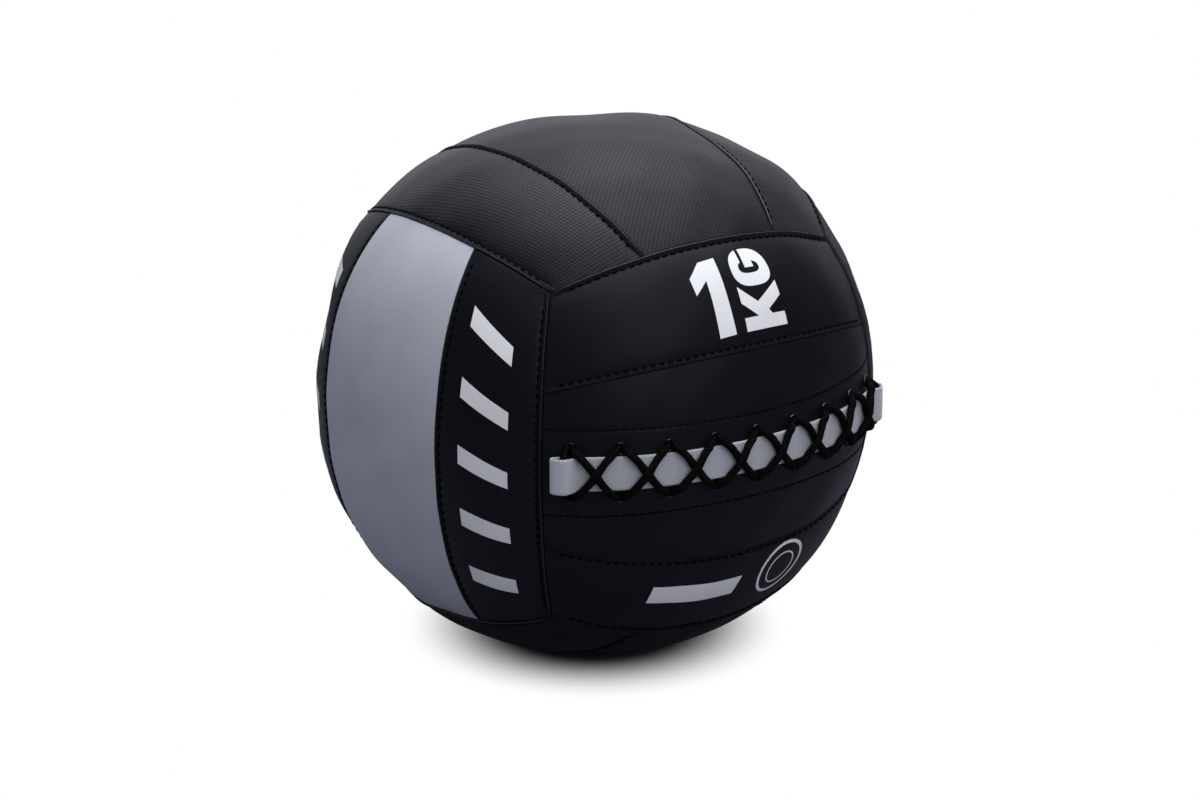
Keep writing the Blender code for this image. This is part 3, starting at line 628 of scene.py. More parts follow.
def flaps():
    span = (-SEAM_TURN, SEAM_TURN)
    upper = Strip("front_flap_upper", "front", SlitLine(1, 0, True), SeamLine(SEAM_TURN), span, (0, 0), 1)
    lower = Strip("front_flap_lower", "front", SeamLine(-SEAM_TURN), SlitLine(-1, 0, True), span, (0, 0), -1)
    return [upper, lower]


# Mesh helpers
def new_piece(name, points, faces, look):
    """A new smooth piece at the origin from its points and faces."""
    mesh = bpy.data.meshes.new(name)
    mesh.from_pydata(points.tolist(), [], faces)
    mesh.materials.append(look)
    mesh.shade_smooth()
    piece = bpy.data.objects.new(name, mesh)
    bpy.context.scene.collection.objects.link(piece)
    return piece


def mark_points(piece, name, values):
    """Keeps a value at each of the piece's points, for its material."""
    layer = piece.data.attributes.new(name, "FLOAT", "POINT")
    layer.data.foreach_set("value", values.astype(np.float32))


def run_along(points):
    """Length of a line from its first point to each of its points."""
    return np.concatenate([[0], np.cumsum(np.linalg.norm(np.diff(points, axis=0), axis=1))])


def square_to(vectors, way):
    """Unit vectors, less what of them runs along another way."""
    return unit(vectors - (vectors * way).sum(axis=-1, keepdims=True) * way)


def grid_quads(rows, columns, start=0):
    index = np.arange(rows * columns).reshape(rows, columns) + start
    return np.stack([index[:-1, :-1], index[1:, :-1], index[1:, 1:], index[:-1, 1:]], axis=-1).reshape(-1, 4)


def slab(name, outer, inner, look, places, turned_over=False):
    """One closed body between an outer and an inner grid of points, with a map of places in metres."""
    rows, columns = outer.shape[:2]
    count = rows * columns
    index = np.arange(count).reshape(rows, columns)
    ring = np.concatenate([index[:-1, 0], index[-1, :-1], index[:0:-1, -1], index[0, :0:-1]])
    following = np.roll(ring, -1)
    wall = np.stack([following, ring, ring + count, following + count], axis=-1)
    quads = np.concatenate([grid_quads(rows, columns), grid_quads(rows, columns, count)[:, ::-1], wall])
    if turned_over:
        quads = quads[:, ::-1]
    points = np.concatenate([outer.reshape(-1, 3), inner.reshape(-1, 3)])
    piece = new_piece(name, points, quads.tolist(), look)
    corners = np.empty(len(piece.data.loops), np.int32)
    piece.data.loops.foreach_get("vertex_index", corners)
    layer = piece.data.uv_layers.new(name="Places", do_init=False)
    both_sides = np.tile(places.reshape(-1, 2), (2, 1))
    layer.uv.foreach_set("vector", both_sides[corners].astype(np.float32).ravel())
    return piece


def sharpen(piece, turn):
    piece.data.set_sharp_from_angle(angle=turn)


def select_only(piece):
    if bpy.context.mode != "OBJECT":
        bpy.ops.object.mode_set(mode="OBJECT")
    bpy.ops.object.select_all(action="DESELECT")
    piece.select_set(True)
    bpy.context.view_layer.objects.active = piece


def select_points(piece, test):
    """In edit mode, selects the vertices whose own place passes the test."""
    bpy.ops.mesh.select_all(action="DESELECT")
    bpy.ops.object.mode_set(mode="OBJECT")
    for vertex in piece.data.vertices:
        vertex.select = bool(test(vertex.co))
    bpy.ops.object.mode_set(mode="EDIT")


def settle(piece, slot, *nodes):
    """Hands a finished piece to the frame, in place of the part's own nodes."""
    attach(piece, "root")
    if nodes:
        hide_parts(*nodes)


def is_outward(face):
    normal, along, across = FACES[face]
    return np.cross(along, across) @ normal > 0


# Looks that have a function of their own: bumps' heights, noise's scale and detail, shades, roughness
RELIEFS = {"cover": 0.13 * MM, "webbing": 0.16 * MM, "lace": 0.14 * MM}
PEBBLE_NOISE = (700.0, 3.0)
PEBBLE_PARTS = (0.7, 0.4)
MOTTLE_NOISE = (22.0, 3.0)
WEAR_NOISE = (160.0, 4.0)
WEAR_RANGE = (0.42, 0.7)
FIBRE_NOISE = (5.0, 1.2)
LINT_NOISE = (60.0, 4.0)
COVER_MOTTLE_SHARE = 0.6
COVER_SHADES = (0.88, 1.35)
COVER_ROUGH_STEPS = (0.05, -0.07)
MESH_SHINE_RANGE = (0.35, 0.95)
PEBBLE_SHARE = 0.2
COAT_ROUGHNESS = 0.42
GREY_FINISH = (0.5, 0.25)
BLACK_FINISH = (0.45, 0.14)
WEBBING_PARTS = (0.55, 0.45)
WEBBING_SHADES = (0.8, 1.2)
WEBBING_ROUGHNESS = (0.8, 0.92)
WEBBING_SOCKETS = {"Specular_IOR_Level": 0.2, "Sheen_Weight": 0.25}
WEBBING_LINT_RATE = 1500.0
WEBBING_LINT_SHARE = 0.4
LACE_SOCKETS = {"Specular_IOR_Level": 0.02}
LACE_LINT_RATE = 1100.0
LACE_FLECK_RANGE = (0.44, 0.62)
LACE_ROUGHNESS = (0.65, 0.85)
FACING_SHADE = 1.3

# Plain looks: rate of the fuzz (none for grain), two shades, roughness and what it follows, relief,
# and the shader's own values
CORD_SHARES = (0.7, 1.6), (0.7, 0.9), "Mottle"
SOFT_SHARES = (0.8, 1.15), (0.95, 0.85), "Mottle"
PLAIN_LOOKS = {
    "sewing_thread": (2500.0, *CORD_SHARES, 0.12 * MM, {"Specular_IOR_Level": 0.06}),
    "tie_cord": (1800.0, *CORD_SHARES, 0.12 * MM, {"Specular_IOR_Level": 0.06}),
    "knot_cord": (1800.0, *CORD_SHARES, 0.12 * MM, {"Specular_IOR_Level": 0.06}),
    "gunmetal": (900.0, (0.7, 1.5), (0.15, 0.32), "Height", 0.02 * MM, {"Metallic": 1.0}),
    "white_print": (None, (0.96, 1.04), (0.5, 0.62), "Height", 0.05 * MM, {"Specular_IOR_Level": 0.3}),
    "open_foam": (500.0, *SOFT_SHARES, 0.6 * MM, {"Specular_IOR_Level": 0.2}),
    "cotton_bag": (1500.0, *SOFT_SHARES, 0.2 * MM, {"Specular_IOR_Level": 0.2}),
    "cotton_pouch": (1500.0, *SOFT_SHARES, 0.2 * MM, {"Specular_IOR_Level": 0.2}),
    "facing_cloth": (1500.0, *SOFT_SHARES, 0.2 * MM, {"Specular_IOR_Level": 0.2}),
    "fibre_wool": (250.0, *SOFT_SHARES, 2 * MM, {"Specular_IOR_Level": 0.2}),
    "sand_grains": (1200.0, *SOFT_SHARES, 0.5 * MM, {"Specular_IOR_Level": 0.2}),
}


# Shader helpers
def add(tree, kind, values=None, **settings):
    """A new node with its settings, and its inputs set or linked by name."""
    made = tree.nodes.new(kind)
    for key, value in settings.items():
        setattr(made, key, value)
    for key, value in (values or {}).items():
        if isinstance(value, bpy.types.NodeSocket):
            tree.links.new(value, made.inputs[key])
        else:
            made.inputs[key].default_value = value
    return made


def sums(tree, operation, *values):
    return add(tree, "ShaderNodeMath", dict(enumerate(values)), operation=operation).outputs[0]


def ranged(tree, value, low, high, first=0.0, last=1.0, kind="LINEAR"):
    """A value's place between two others, as a share or between two new ends."""
    ends = {"Value": value, "From Min": low, "From Max": high, "To Min": first, "To Max": last}
    return add(tree, "ShaderNodeMapRange", ends, interpolation_type=kind).outputs[0]


def noise(tree, places, scale, detail, distortion=0.0):
    values = {"Vector": places, "Scale": scale, "Detail": detail, "Distortion": distortion}
    return add(tree, "ShaderNodeTexNoise", values).outputs["Fac"]


def parts_of(tree, shares, first, second):
    """The sum of a share of one value and a share of another."""
    parts = [sums(tree, "MULTIPLY", value, share) for value, share in zip((first, second), shares)]
    return sums(tree, "ADD", *parts)


def blend(tree, share, first, last):
    """A colour between two others, by a share."""
    return add(tree, "ShaderNodeMix", {"Factor": share, 6: first, 7: last}, data_type="RGBA").outputs[2]


def shader_group(name, inputs, outputs):
    """An empty group with named sockets, and its input and output nodes."""
    tree = bpy.data.node_groups.new(name, "ShaderNodeTree")
    for label, kind, value in inputs:
        socket = tree.interface.new_socket(label, in_out="INPUT", socket_type=kind)
        if value is not None:
            socket.default_value = value
    for label, kind in outputs:
        tree.interface.new_socket(label, in_out="OUTPUT", socket_type=kind)
    return tree, tree.nodes.new("NodeGroupInput"), tree.nodes.new("NodeGroupOutput")


def use_group(tree, build, values):
    """The outputs of a group's node in a material; the group itself is built once."""
    group = bpy.data.node_groups.get(build.__name__) or build(build.__name__)
    return add(tree, "ShaderNodeGroup", values, node_tree=group).outputs


def scrim(name):
    """Little puffed squares, where a coated cloth's mesh shows through."""
    tree, come, go = shader_group(
        name, [("Places", "NodeSocketVector", None), ("Pitch", "NodeSocketFloat", SCRIM_PITCH),
               ("Turn", "NodeSocketFloat", 0.0)], [("Height", "NodeSocketFloat")])
    turned = add(tree, "ShaderNodeVectorRotate",
                 {"Vector": come.outputs["Places"], "Angle": come.outputs["Turn"]}, rotation_type="Z_AXIS")
    parts = add(tree, "ShaderNodeSeparateXYZ", {"Vector": turned.outputs[0]})
    rate = sums(tree, "DIVIDE", math.pi, come.outputs["Pitch"])
    waves = [sums(tree, "ABSOLUTE", sums(tree, "SINE", sums(tree, "MULTIPLY", parts.outputs[axis], rate)))
             for axis in ("X", "Y")]
    tree.links.new(sums(tree, "POWER", sums(tree, "MULTIPLY", *waves), 0.5), go.inputs["Height"])
    return tree


def grain(name):
    """Fine pebbles of a coated cloth, and its slow colour change."""
    tree, come, go = shader_group(
        name, [("Places", "NodeSocketVector", None), ("Pebble", "NodeSocketFloat", PEBBLE)],
        [("Height", "NodeSocketFloat"), ("Mottle", "NodeSocketFloat")])
    places = come.outputs["Places"]
    rate = sums(tree, "DIVIDE", 1.0, come.outputs["Pebble"])
    cells = add(tree, "ShaderNodeTexVoronoi", {"Vector": places, "Scale": rate}, feature="SMOOTH_F1")
    height = parts_of(tree, PEBBLE_PARTS, cells.outputs["Distance"], noise(tree, places, *PEBBLE_NOISE))
    tree.links.new(height, go.inputs["Height"])
    tree.links.new(noise(tree, places, *MOTTLE_NOISE), go.inputs["Mottle"])
    return tree


def rubbing(name):
    """Patchy wear where the cover's raised edges are rubbed."""
    tree, come, go = shader_group(
        name, [("Places", "NodeSocketVector", None), ("Rub", "NodeSocketFloat", 0.0)],
        [("Wear", "NodeSocketFloat")])
    kept = ranged(tree, noise(tree, come.outputs["Places"], *WEAR_NOISE), *WEAR_RANGE)
    tree.links.new(sums(tree, "MULTIPLY", come.outputs["Rub"], kept), go.inputs["Wear"])
    return tree


def weave(name):
    """Plain weave: threads along and across go over each other by turns."""
    tree, come, go = shader_group(
        name, [("Places", "NodeSocketVector", None), ("Warp Pitch", "NodeSocketFloat", WARP_PITCH),
               ("Weft Pitch", "NodeSocketFloat", WEFT_PITCH)],
        [("Height", "NodeSocketFloat"), ("Over", "NodeSocketFloat")])
    parts = add(tree, "ShaderNodeSeparateXYZ", {"Vector": come.outputs["Places"]})
    steps = [sums(tree, "DIVIDE", parts.outputs[axis], come.outputs[pitch])
             for axis, pitch in (("X", "Warp Pitch"), ("Y", "Weft Pitch"))]
    waves = [sums(tree, "ABSOLUTE", sums(tree, "SINE", sums(tree, "MULTIPLY", step, math.pi)))
             for step in steps]
    floors = [sums(tree, "FLOOR", step) for step in steps]
    parity = sums(tree, "FLOORED_MODULO", sums(tree, "ADD", *floors), 2.0)
    first = sums(tree, "MULTIPLY", waves[0], parity)
    second = sums(tree, "MULTIPLY", waves[1], sums(tree, "SUBTRACT", 1.0, parity))
    tree.links.new(sums(tree, "ADD", first, second), go.inputs["Height"])
    tree.links.new(parity, go.inputs["Over"])
    return tree


def fuzz(name):
    """Loose fibres at two sizes, with a slow colour change."""
    tree, come, go = shader_group(
        name, [("Places", "NodeSocketVector", None), ("Rate", "NodeSocketFloat", 400.0)],
        [("Height", "NodeSocketFloat"), ("Mottle", "NodeSocketFloat")])
    places = come.outputs["Places"]
    tree.links.new(noise(tree, places, come.outputs["Rate"], *FIBRE_NOISE), go.inputs["Height"])
    tree.links.new(noise(tree, places, *LINT_NOISE), go.inputs["Mottle"])
    return tree


def new_look(name, **sockets):
    """A material with its shader's own sockets set, and the tree and shader to build on."""
    look = bpy.data.materials.new(name)
    look.use_nodes = True
    tree = look.node_tree
    shader = tree.nodes["Principled BSDF"]
    for label, value in sockets.items():
        shader.inputs[label.replace("_", " ")].default_value = value
    return look, tree, shader


def flat_places(tree):
    """Places on a piece's outer face, in metres."""
    return add(tree, "ShaderNodeUVMap", uv_map="Places").outputs[0]


def solid_places(tree):
    """Places in a piece's own space, in metres."""
    return add(tree, "ShaderNodeTexCoord").outputs["Object"]


def shade(tree, shader, share, dark, light):
    """Colour that changes between two shades by a share."""
    tree.links.new(blend(tree, share, (*dark, 1), (*light, 1)), shader.inputs["Base Color"])


def rough(tree, shader, share, smooth, coarse):
    tree.links.new(ranged(tree, share, 0, 1, smooth, coarse), shader.inputs["Roughness"])


def bump(tree, shader, height, distance):
    found = add(tree, "ShaderNodeBump", {"Height": height, "Distance": distance})
    tree.links.new(found.outputs[0], shader.inputs["Normal"])


def times(colour, share):
    return tuple(min(1, part * share) for part in colour)


def cover_look(name, colour, scrim_share, scrim_turn, roughness, specular):
    """Coated cloth with its mesh showing in bumps and shine, fine pebbles and rubbed edges."""
    found = bpy.data.materials.get(name)
    if found:
        return found
    look, tree, shader = new_look(name, Specular_IOR_Level=specular, Specular_Tint=COOL_TINT,
                                  Coat_Roughness=COAT_ROUGHNESS)
    solid = solid_places(tree)
    mesh_marks = use_group(tree, scrim, {"Places": flat_places(tree), "Turn": scrim_turn})["Height"]
    pebbles = use_group(tree, grain, {"Places": solid})
    mark = add(tree, "ShaderNodeAttribute", attribute_name="rub").outputs["Fac"]
    rub = sums(tree, "MAXIMUM", mark, 0.0)
    dull = sums(tree, "MAXIMUM", sums(tree, "MULTIPLY", mark, -1.0), 0.0)
    wear = use_group(tree, rubbing, {"Places": solid, "Rub": rub})["Wear"]
    tone = sums(tree, "ADD", sums(tree, "MULTIPLY", pebbles["Mottle"], COVER_MOTTLE_SHARE), wear)
    shade(tree, shader, tone, *(times(colour, share) for share in COVER_SHADES))
    smooth = ranged(tree, tone, 0, 1, *(roughness + step for step in COVER_ROUGH_STEPS))
    dulled = sums(tree, "ADD", smooth, sums(tree, "MULTIPLY", dull, LIP_DULLNESS))
    tree.links.new(dulled, shader.inputs["Roughness"])
    shine = ranged(tree, mesh_marks, *MESH_SHINE_RANGE, 0, COAT_SHARE * scrim_share)
    kept = sums(tree, "MULTIPLY", shine, sums(tree, "SUBTRACT", 1.0, dull))
    polish = sums(tree, "MULTIPLY", rub, CREST_SHARE)
    tree.links.new(sums(tree, "MAXIMUM", kept, polish), shader.inputs["Coat Weight"])
    height = parts_of(tree, (scrim_share, PEBBLE_SHARE), mesh_marks, pebbles["Height"])
    bump(tree, shader, height, RELIEFS["cover"])
    return look


def webbing_look(colour):
    look, tree, shader = new_look("grey_webbing", **WEBBING_SOCKETS)
    threads = use_group(tree, weave, {"Places": flat_places(tree)})
    lint = use_group(tree, fuzz, {"Places": solid_places(tree), "Rate": WEBBING_LINT_RATE})
    tone = parts_of(tree, WEBBING_PARTS, threads["Height"], lint["Mottle"])
    shade(tree, shader, tone, *(times(colour, share) for share in WEBBING_SHADES))
    rough(tree, shader, threads["Over"], *WEBBING_ROUGHNESS)
    height = parts_of(tree, (1.0, WEBBING_LINT_SHARE), threads["Height"], lint["Height"])
    bump(tree, shader, height, RELIEFS["webbing"])
    return look


def lace_look(colour, fleck):
    """Black braid, paler in flecks on the crests of its plaits."""
    look, tree, shader = new_look("braided_cord", **LACE_SOCKETS)
    lint = use_group(tree, fuzz, {"Places": solid_places(tree), "Rate": LACE_LINT_RATE})
    crest = add(tree, "ShaderNodeAttribute", attribute_name="crest").outputs["Fac"]
    ends = ranged(tree, lint["Height"], *LACE_FLECK_RANGE)
    shade(tree, shader, sums(tree, "MULTIPLY", crest, ends), colour, fleck)
    rough(tree, shader, lint["Mottle"], *LACE_ROUGHNESS)
    bump(tree, shader, lint["Height"], RELIEFS["lace"])
    return look


def plain_look(name, colour):
    """A look of one colour, from the table of plain looks."""
    found = bpy.data.materials.get(name)
    if found:
        return found
    rate, shades, roughs, rough_by, relief, sockets = PLAIN_LOOKS[name]
    look, tree, shader = new_look(name, **sockets)
    solid = solid_places(tree)
    if rate:
        spots = use_group(tree, fuzz, {"Places": solid, "Rate": rate})
    else:
        spots = use_group(tree, grain, {"Places": solid})
    shade(tree, shader, spots["Mottle"], *(times(colour, share) for share in shades))
    rough(tree, shader, spots[rough_by], *roughs)
    bump(tree, shader, spots["Height"], relief)
    return look


# Cover: how strongly each strip's mesh shows, and how it is turned
COVER_LOOKS = {
    "top_panel_left": (0.9, 0.15), "top_panel_middle": (0.6, 0.72), "top_panel_right": (0.3, 0.3),
    "left_panel_front": (0.3, QUARTER), "left_panel_rear": (0.3, QUARTER),
    "left_panel_middle": (0.5, QUARTER), "right_panel_middle": (0.5, QUARTER),
}
PLAIN_COVER = (0.03, 0.0)


def strip_look(node):
    colours = bpy.context.scene.ball_colours
    share, turn = COVER_LOOKS.get(node, PLAIN_COVER)
    if node in ("left_panel_middle", "right_panel_middle"):
        return cover_look("grey_cover", colours.grey, share, turn, *GREY_FINISH), "cover_grey"
    name = "black_cover_%d_%d" % (round(100 * share), round(math.degrees(turn)))
    return cover_look(name, colours.black, share, turn, *BLACK_FINISH), "cover_black"


def make_strip(strip):
    """The strip as one closed padded body: outer skin, inner skin and the turned-in borders."""
    along_turn, across_turn = strip.grid()
    outer, rub = strip.skin(along_turn, across_turn)
    inner = rounded(toward(strip.face, along_turn, across_turn), np.full(along_turn.shape, PANEL_DEPTH))
    places = np.stack([along_turn, across_turn], axis=-1) * FACE_RADIUS
    look, slot = strip_look(strip.node)
    piece = slab("sewn_" + strip.node, outer, inner, look, places, not is_outward(strip.face))
    mark_points(piece, "rub", np.concatenate([rub.ravel(), np.zeros(rub.size)]))
    sharpen(piece, SHARP_TURN)
    settle(piece, slot, strip.node)
    return piece


class BALL_OT_sew_strips(bpy.types.Operator):
    """Make the padded strips of all six faces but the laced flaps"""

    bl_idname = "ball.sew_strips"
    bl_label = "Sew Strips"

    def execute(self, context):
        for strip in strips():
            make_strip(strip)
        return {"FINISHED"}


def eyelet_frames(side):
    """Centre, along, across and out of each eyelet of a row, on the flap's own skin."""
    flap = flaps()[0 if side > 0 else 1]
    frames = []
    for column in range(EYELET_COLUMNS):
        spots = []
        for along, across in ((0, 0), (1, 0), (0, 1)):
            way = front_way(column_along(column) + along * PROBE_STEP,
                            side * EYELET_ROW_SPACING / 2 + across * PROBE_STEP)
            along_turn = np.arctan2(way[0], -way[1])
            across_turn = np.arctan(way[2] / -way[1])
            point, _ = flap.skin(np.array([along_turn]), np.array([across_turn]))
            spots.append(Vector(point[0]))
        along = (spots[1] - spots[0]).normalized()
        out = along.cross(spots[2] - spots[0]).normalized()
        frames.append((spots[0], along, out.cross(along), out))
    return frames


def frame_matrix(frame_of):
    centre, along, across, out = frame_of
    return Matrix.Translation(centre) @ Matrix((along, across, out)).transposed().to_4x4()


def punch_holes(piece, side):
    """Cuts the eyelets' round holes through a flap."""
    cutters = []
    for place in eyelet_frames(side):
        bpy.ops.mesh.primitive_cylinder_add(vertices=EYELET_SIDES, radius=EYELET_TUBE_RADIUS + HALF_GAP,
                                            depth=4 * FACING_BOTTOM)
        cutter = bpy.context.object
        cutter.matrix_world = frame_matrix(place)
        cutters.append(cutter)
    for cutter in cutters:
        cutter.select_set(True)
    bpy.ops.object.join()
    cutter = bpy.context.object
    select_only(piece)
    cut = piece.modifiers.new("Holes", "BOOLEAN")
    cut.operation = "DIFFERENCE"
    cut.object = cutter
    bpy.ops.object.modifier_apply(modifier=cut.name)
    bpy.data.objects.remove(cutter, do_unlink=True)


class BALL_OT_lay_flaps(bpy.types.Operator):
    """Make the two laced flaps with their hems and eyelet holes"""

    bl_idname = "ball.lay_flaps"
    bl_label = "Lay Flaps"

    def execute(self, context):
        for strip in flaps():
            piece = make_strip(strip)
            punch_holes(piece, strip.hem_side)
            sharpen(piece, SHARP_TURN)
        return {"FINISHED"}


# Stitches
def stitch_template(thread, length):
    """One stitch, modelled once: a short round bar whose ends turn down into the cloth."""
    bpy.ops.object.select_all(action="DESELECT")
    bpy.ops.mesh.primitive_cylinder_add(vertices=STITCH_SIDES, radius=thread / 2, depth=length,
                                        rotation=(0, 2 * QUARTER, 0))
    bpy.ops.object.transform_apply(location=False, rotation=True, scale=False)
    stitch = bpy.context.object
    bpy.ops.object.mode_set(mode="EDIT")
    for share in STITCH_CUT_SHARES:
        bpy.ops.mesh.select_all(action="SELECT")
        bpy.ops.mesh.bisect(plane_co=(share * length, 0, 0), plane_no=(1, 0, 0))
    reach = STITCH_END_SHARE * length
    for sign in (-1, 1):
        select_points(stitch, lambda place: place.x * sign > reach)
        bpy.ops.transform.resize(value=(1, STITCH_TAPER_SHARE, STITCH_TAPER_SHARE))
        bpy.ops.transform.translate(value=(0, 0, -thread))
    bpy.ops.object.mode_set(mode="OBJECT")
    points = np.array([vertex.co for vertex in stitch.data.vertices])
    faces = [list(face.vertices) for face in stitch.data.polygons]
    bpy.data.objects.remove(stitch, do_unlink=True)
    return points, faces


def lay_stitches(name, centres, along, out, look, thread, length):
    """Copies of the stitch at each centre, in one mesh."""
    points, faces = stitch_template(thread, length)
    turn = np.stack([along, np.cross(out, along), out], axis=-1)
    placed = centres[:, None, :] + np.einsum("nij,kj->nki", turn, points)
    all_faces = [[corner + index * len(points) for corner in face]
                 for index in range(len(centres)) for face in faces]
    settle(new_piece(name, placed.reshape(-1, 3), all_faces, look), "cord_black")


def row_places(strip, line, distance, margin):
    """Turns of the stitches of one row, at a distance to the inner side of a line."""
    sizes = bpy.context.scene.cover_sizes
    along = np.linspace(-QUARTER, QUARTER, ROW_STEPS)
    base = line.across(along)
    across = base + distance / along_rate(base, along)
    way = toward(strip.face, along, across)
    points = rounded(way, np.zeros(len(along)))
    run = run_along(points)
    run -= run[-1] / 2
    count = int((run[-1] - margin) / sizes.stitch_pitch)
    spots = (np.arange(-count, count) + 0.5) * sizes.stitch_pitch
    return np.interp(spots, run, along), np.interp(spots, run, across)


def stitch_row(strip, line, distance, margin, name, look, thread, length):
    along_turn, across_turn = row_places(strip, line, distance, margin)
    step = length / 2 / FACE_RADIUS
    rise = thread * STITCH_RISE_SHARE
    centres, ahead, behind = (
        strip.skin(along_turn + shift, np.interp(along_turn + shift, along_turn, across_turn), rise)[0]
        for shift in (0, step, -step))
    along = unit(ahead - behind)
    out = square_to(toward(strip.face, along_turn, across_turn), along)
    lay_stitches(name, centres, along, out, look, thread, length)


class BALL_OT_stitch_rows(bpy.types.Operator):
    """Lay the rows of stitches beside the sewn borders and along the flaps' hems"""

    bl_idname = "ball.stitch_rows"
    bl_label = "Stitch Rows"

    def execute(self, context):
        sizes = context.scene.cover_sizes
        look = plain_look("sewing_thread", context.scene.ball_colours.thread)
        for strip in strips():
            for line, sewn, sign, place in ((strip.low, strip.sewn[0], 1, "low"),
                                            (strip.high, strip.sewn[1], -1, "high")):
                if sewn:
                    stitch_row(strip, line, sign * (sizes.lip_width + HALF_GAP), 2 * sizes.lip_width,
                               "stitches_%s_%s" % (strip.node, place), look, sizes.thread_diameter,
                               sizes.stitch_length)
        for strip in flaps():
            stitch_row(strip, hem_line(strip.hem_side), 0, 0, "stitches_" + strip.node, look,
                       sizes.hem_thread, sizes.hem_stitch)
        return {"FINISHED"}


# Eyelets
def eyelet_profile():
    """Radius and height round an eyelet's rolled flanges and tube."""
    low = CLEARANCE / 3
    rim = EYELET_TOP - low
    hole, tube, rear = EYELET_HOLE_RADIUS, EYELET_TUBE_RADIUS, EYELET_RADIUS
    front = tube + bpy.context.scene.lacing_sizes.flange_width
    top_shares = ((hole, 0, -0.1), (hole, 0, 0.55), (hole, 0.1, 0.85), (hole, 0.35, 1), (tube, 0.15, 1),
                  (front, -0.35, 0.85), (front, -0.08, 0.5), (front, 0, 0.22), (front, -0.12, 0),
                  (tube, 0, 0))
    bottom_shares = ((tube, 0, 1), (rear, -0.2, 1), (rear, 0, 0.7), (rear, -0.3, 0.2), (hole, 0.4, 0),
                     (hole, 0, 0.4))
    return [(radius + out * rim, start + up * rim)
            for start, shares in ((low, top_shares), (-EYELET_REACH, bottom_shares))
            for radius, out, up in shares]


def eyelet_shape(look):
    """One eyelet: a ring of edge extruded round its profile and bridged to itself."""
    profile = eyelet_profile()
    bpy.ops.object.select_all(action="DESELECT")
    bpy.ops.mesh.primitive_circle_add(vertices=EYELET_SIDES, radius=profile[0][0],
                                      location=(0, 0, profile[0][1]))
    ring = bpy.context.object
    bpy.ops.object.transform_apply(location=True, rotation=False, scale=False)
    bpy.ops.object.mode_set(mode="EDIT")
    bpy.ops.mesh.select_all(action="SELECT")
    for (before, low), (radius, height) in zip(profile, profile[1:]):
        bpy.ops.mesh.extrude_region_move(TRANSFORM_OT_translate={"value": (0, 0, height - low)})
        bpy.ops.transform.resize(value=(radius / before, radius / before, 1))
    ends = (profile[0], profile[-1])
    select_points(ring, lambda place: any(abs(math.hypot(place.x, place.y) - radius) < NEAR
                                          and abs(place.z - height) < NEAR for radius, height in ends))
    bpy.ops.mesh.bridge_edge_loops()
    bpy.ops.mesh.select_all(action="SELECT")
    bpy.ops.mesh.normals_make_consistent(inside=False)
    bpy.ops.object.mode_set(mode="OBJECT")
    bpy.ops.object.shade_smooth_by_angle(angle=EYELET_SHARP_TURN)
    ring.data.materials.append(look)
    return ring


class BALL_OT_press_eyelets(bpy.types.Operator):
    """Press the two rows of eyelets into the flaps"""

    bl_idname = "ball.press_eyelets"
    bl_label = "Press Eyelets"

    def execute(self, context):
        ring = eyelet_shape(plain_look("gunmetal", context.scene.ball_colours.metal))
        for side, place in ((1, "upper"), (-1, "lower")):
            for column, frame_of in enumerate(eyelet_frames(side)):
                mesh = ring.data.copy()
                mesh.transform(frame_matrix(frame_of))
                name = "eyelet_%s_%d" % (place, column + 1)
                piece = bpy.data.objects.new("rolled_" + name, mesh)
                context.scene.collection.objects.link(piece)
                settle(piece, "eyelet_gunmetal", name)
        bpy.data.objects.remove(ring, do_unlink=True)
        return {"FINISHED"}


# Tongue
def bar_along(end):
    """Where the lace's bar passes through the folded end of the tongue (1 right, -1 left)."""
    return end * (column_along(EYELET_COLUMNS - 1) + LACE_SPREAD + TONGUE_BAR_SHIFT)


def tongue_slope():
    """Places along the slit and heights of the tongue's right slope, up to its fold."""
    return [(bar_along(1) - TONGUE_SLOPE_LENGTH * (1 - share),
             TONGUE_LOW + FOLD_HEIGHT * (1 - math.cos(math.pi * share)) / 2)
            for share in np.linspace(0, 1, FOLD_STEPS)]


def tongue_line():
    """Centre line of the tongue, from its tucked left end to its tucked right end."""
    bar = bar_along(1)
    slope = tongue_slope()[1:]
    for turn in np.linspace(0, math.pi, FOLD_STEPS)[1:]:
        slope.append((bar + TONGUE_FOLD_REACH * math.sin(turn) ** FOLD_POWER,
                      TONGUE_LOW + FOLD_HEIGHT * (1 + math.cos(turn)) / 2))
    slope.append((bar - TONGUE_RETURN_LENGTH, TONGUE_LOW))
    right = np.array(slope)
    left = right[::-1] * np.array((-1, 1))
    reach = bar - TONGUE_SLOPE_LENGTH
    middle = np.array([(along, TONGUE_LOW) for along in np.arange(-reach, reach, TONGUE_STEP)])
    return np.concatenate([left, middle, right])


def tongue_height(along):
    """Height of the tongue's upper layer at a distance along the slit."""
    return float(np.interp(abs(along), *zip(*tongue_slope())))


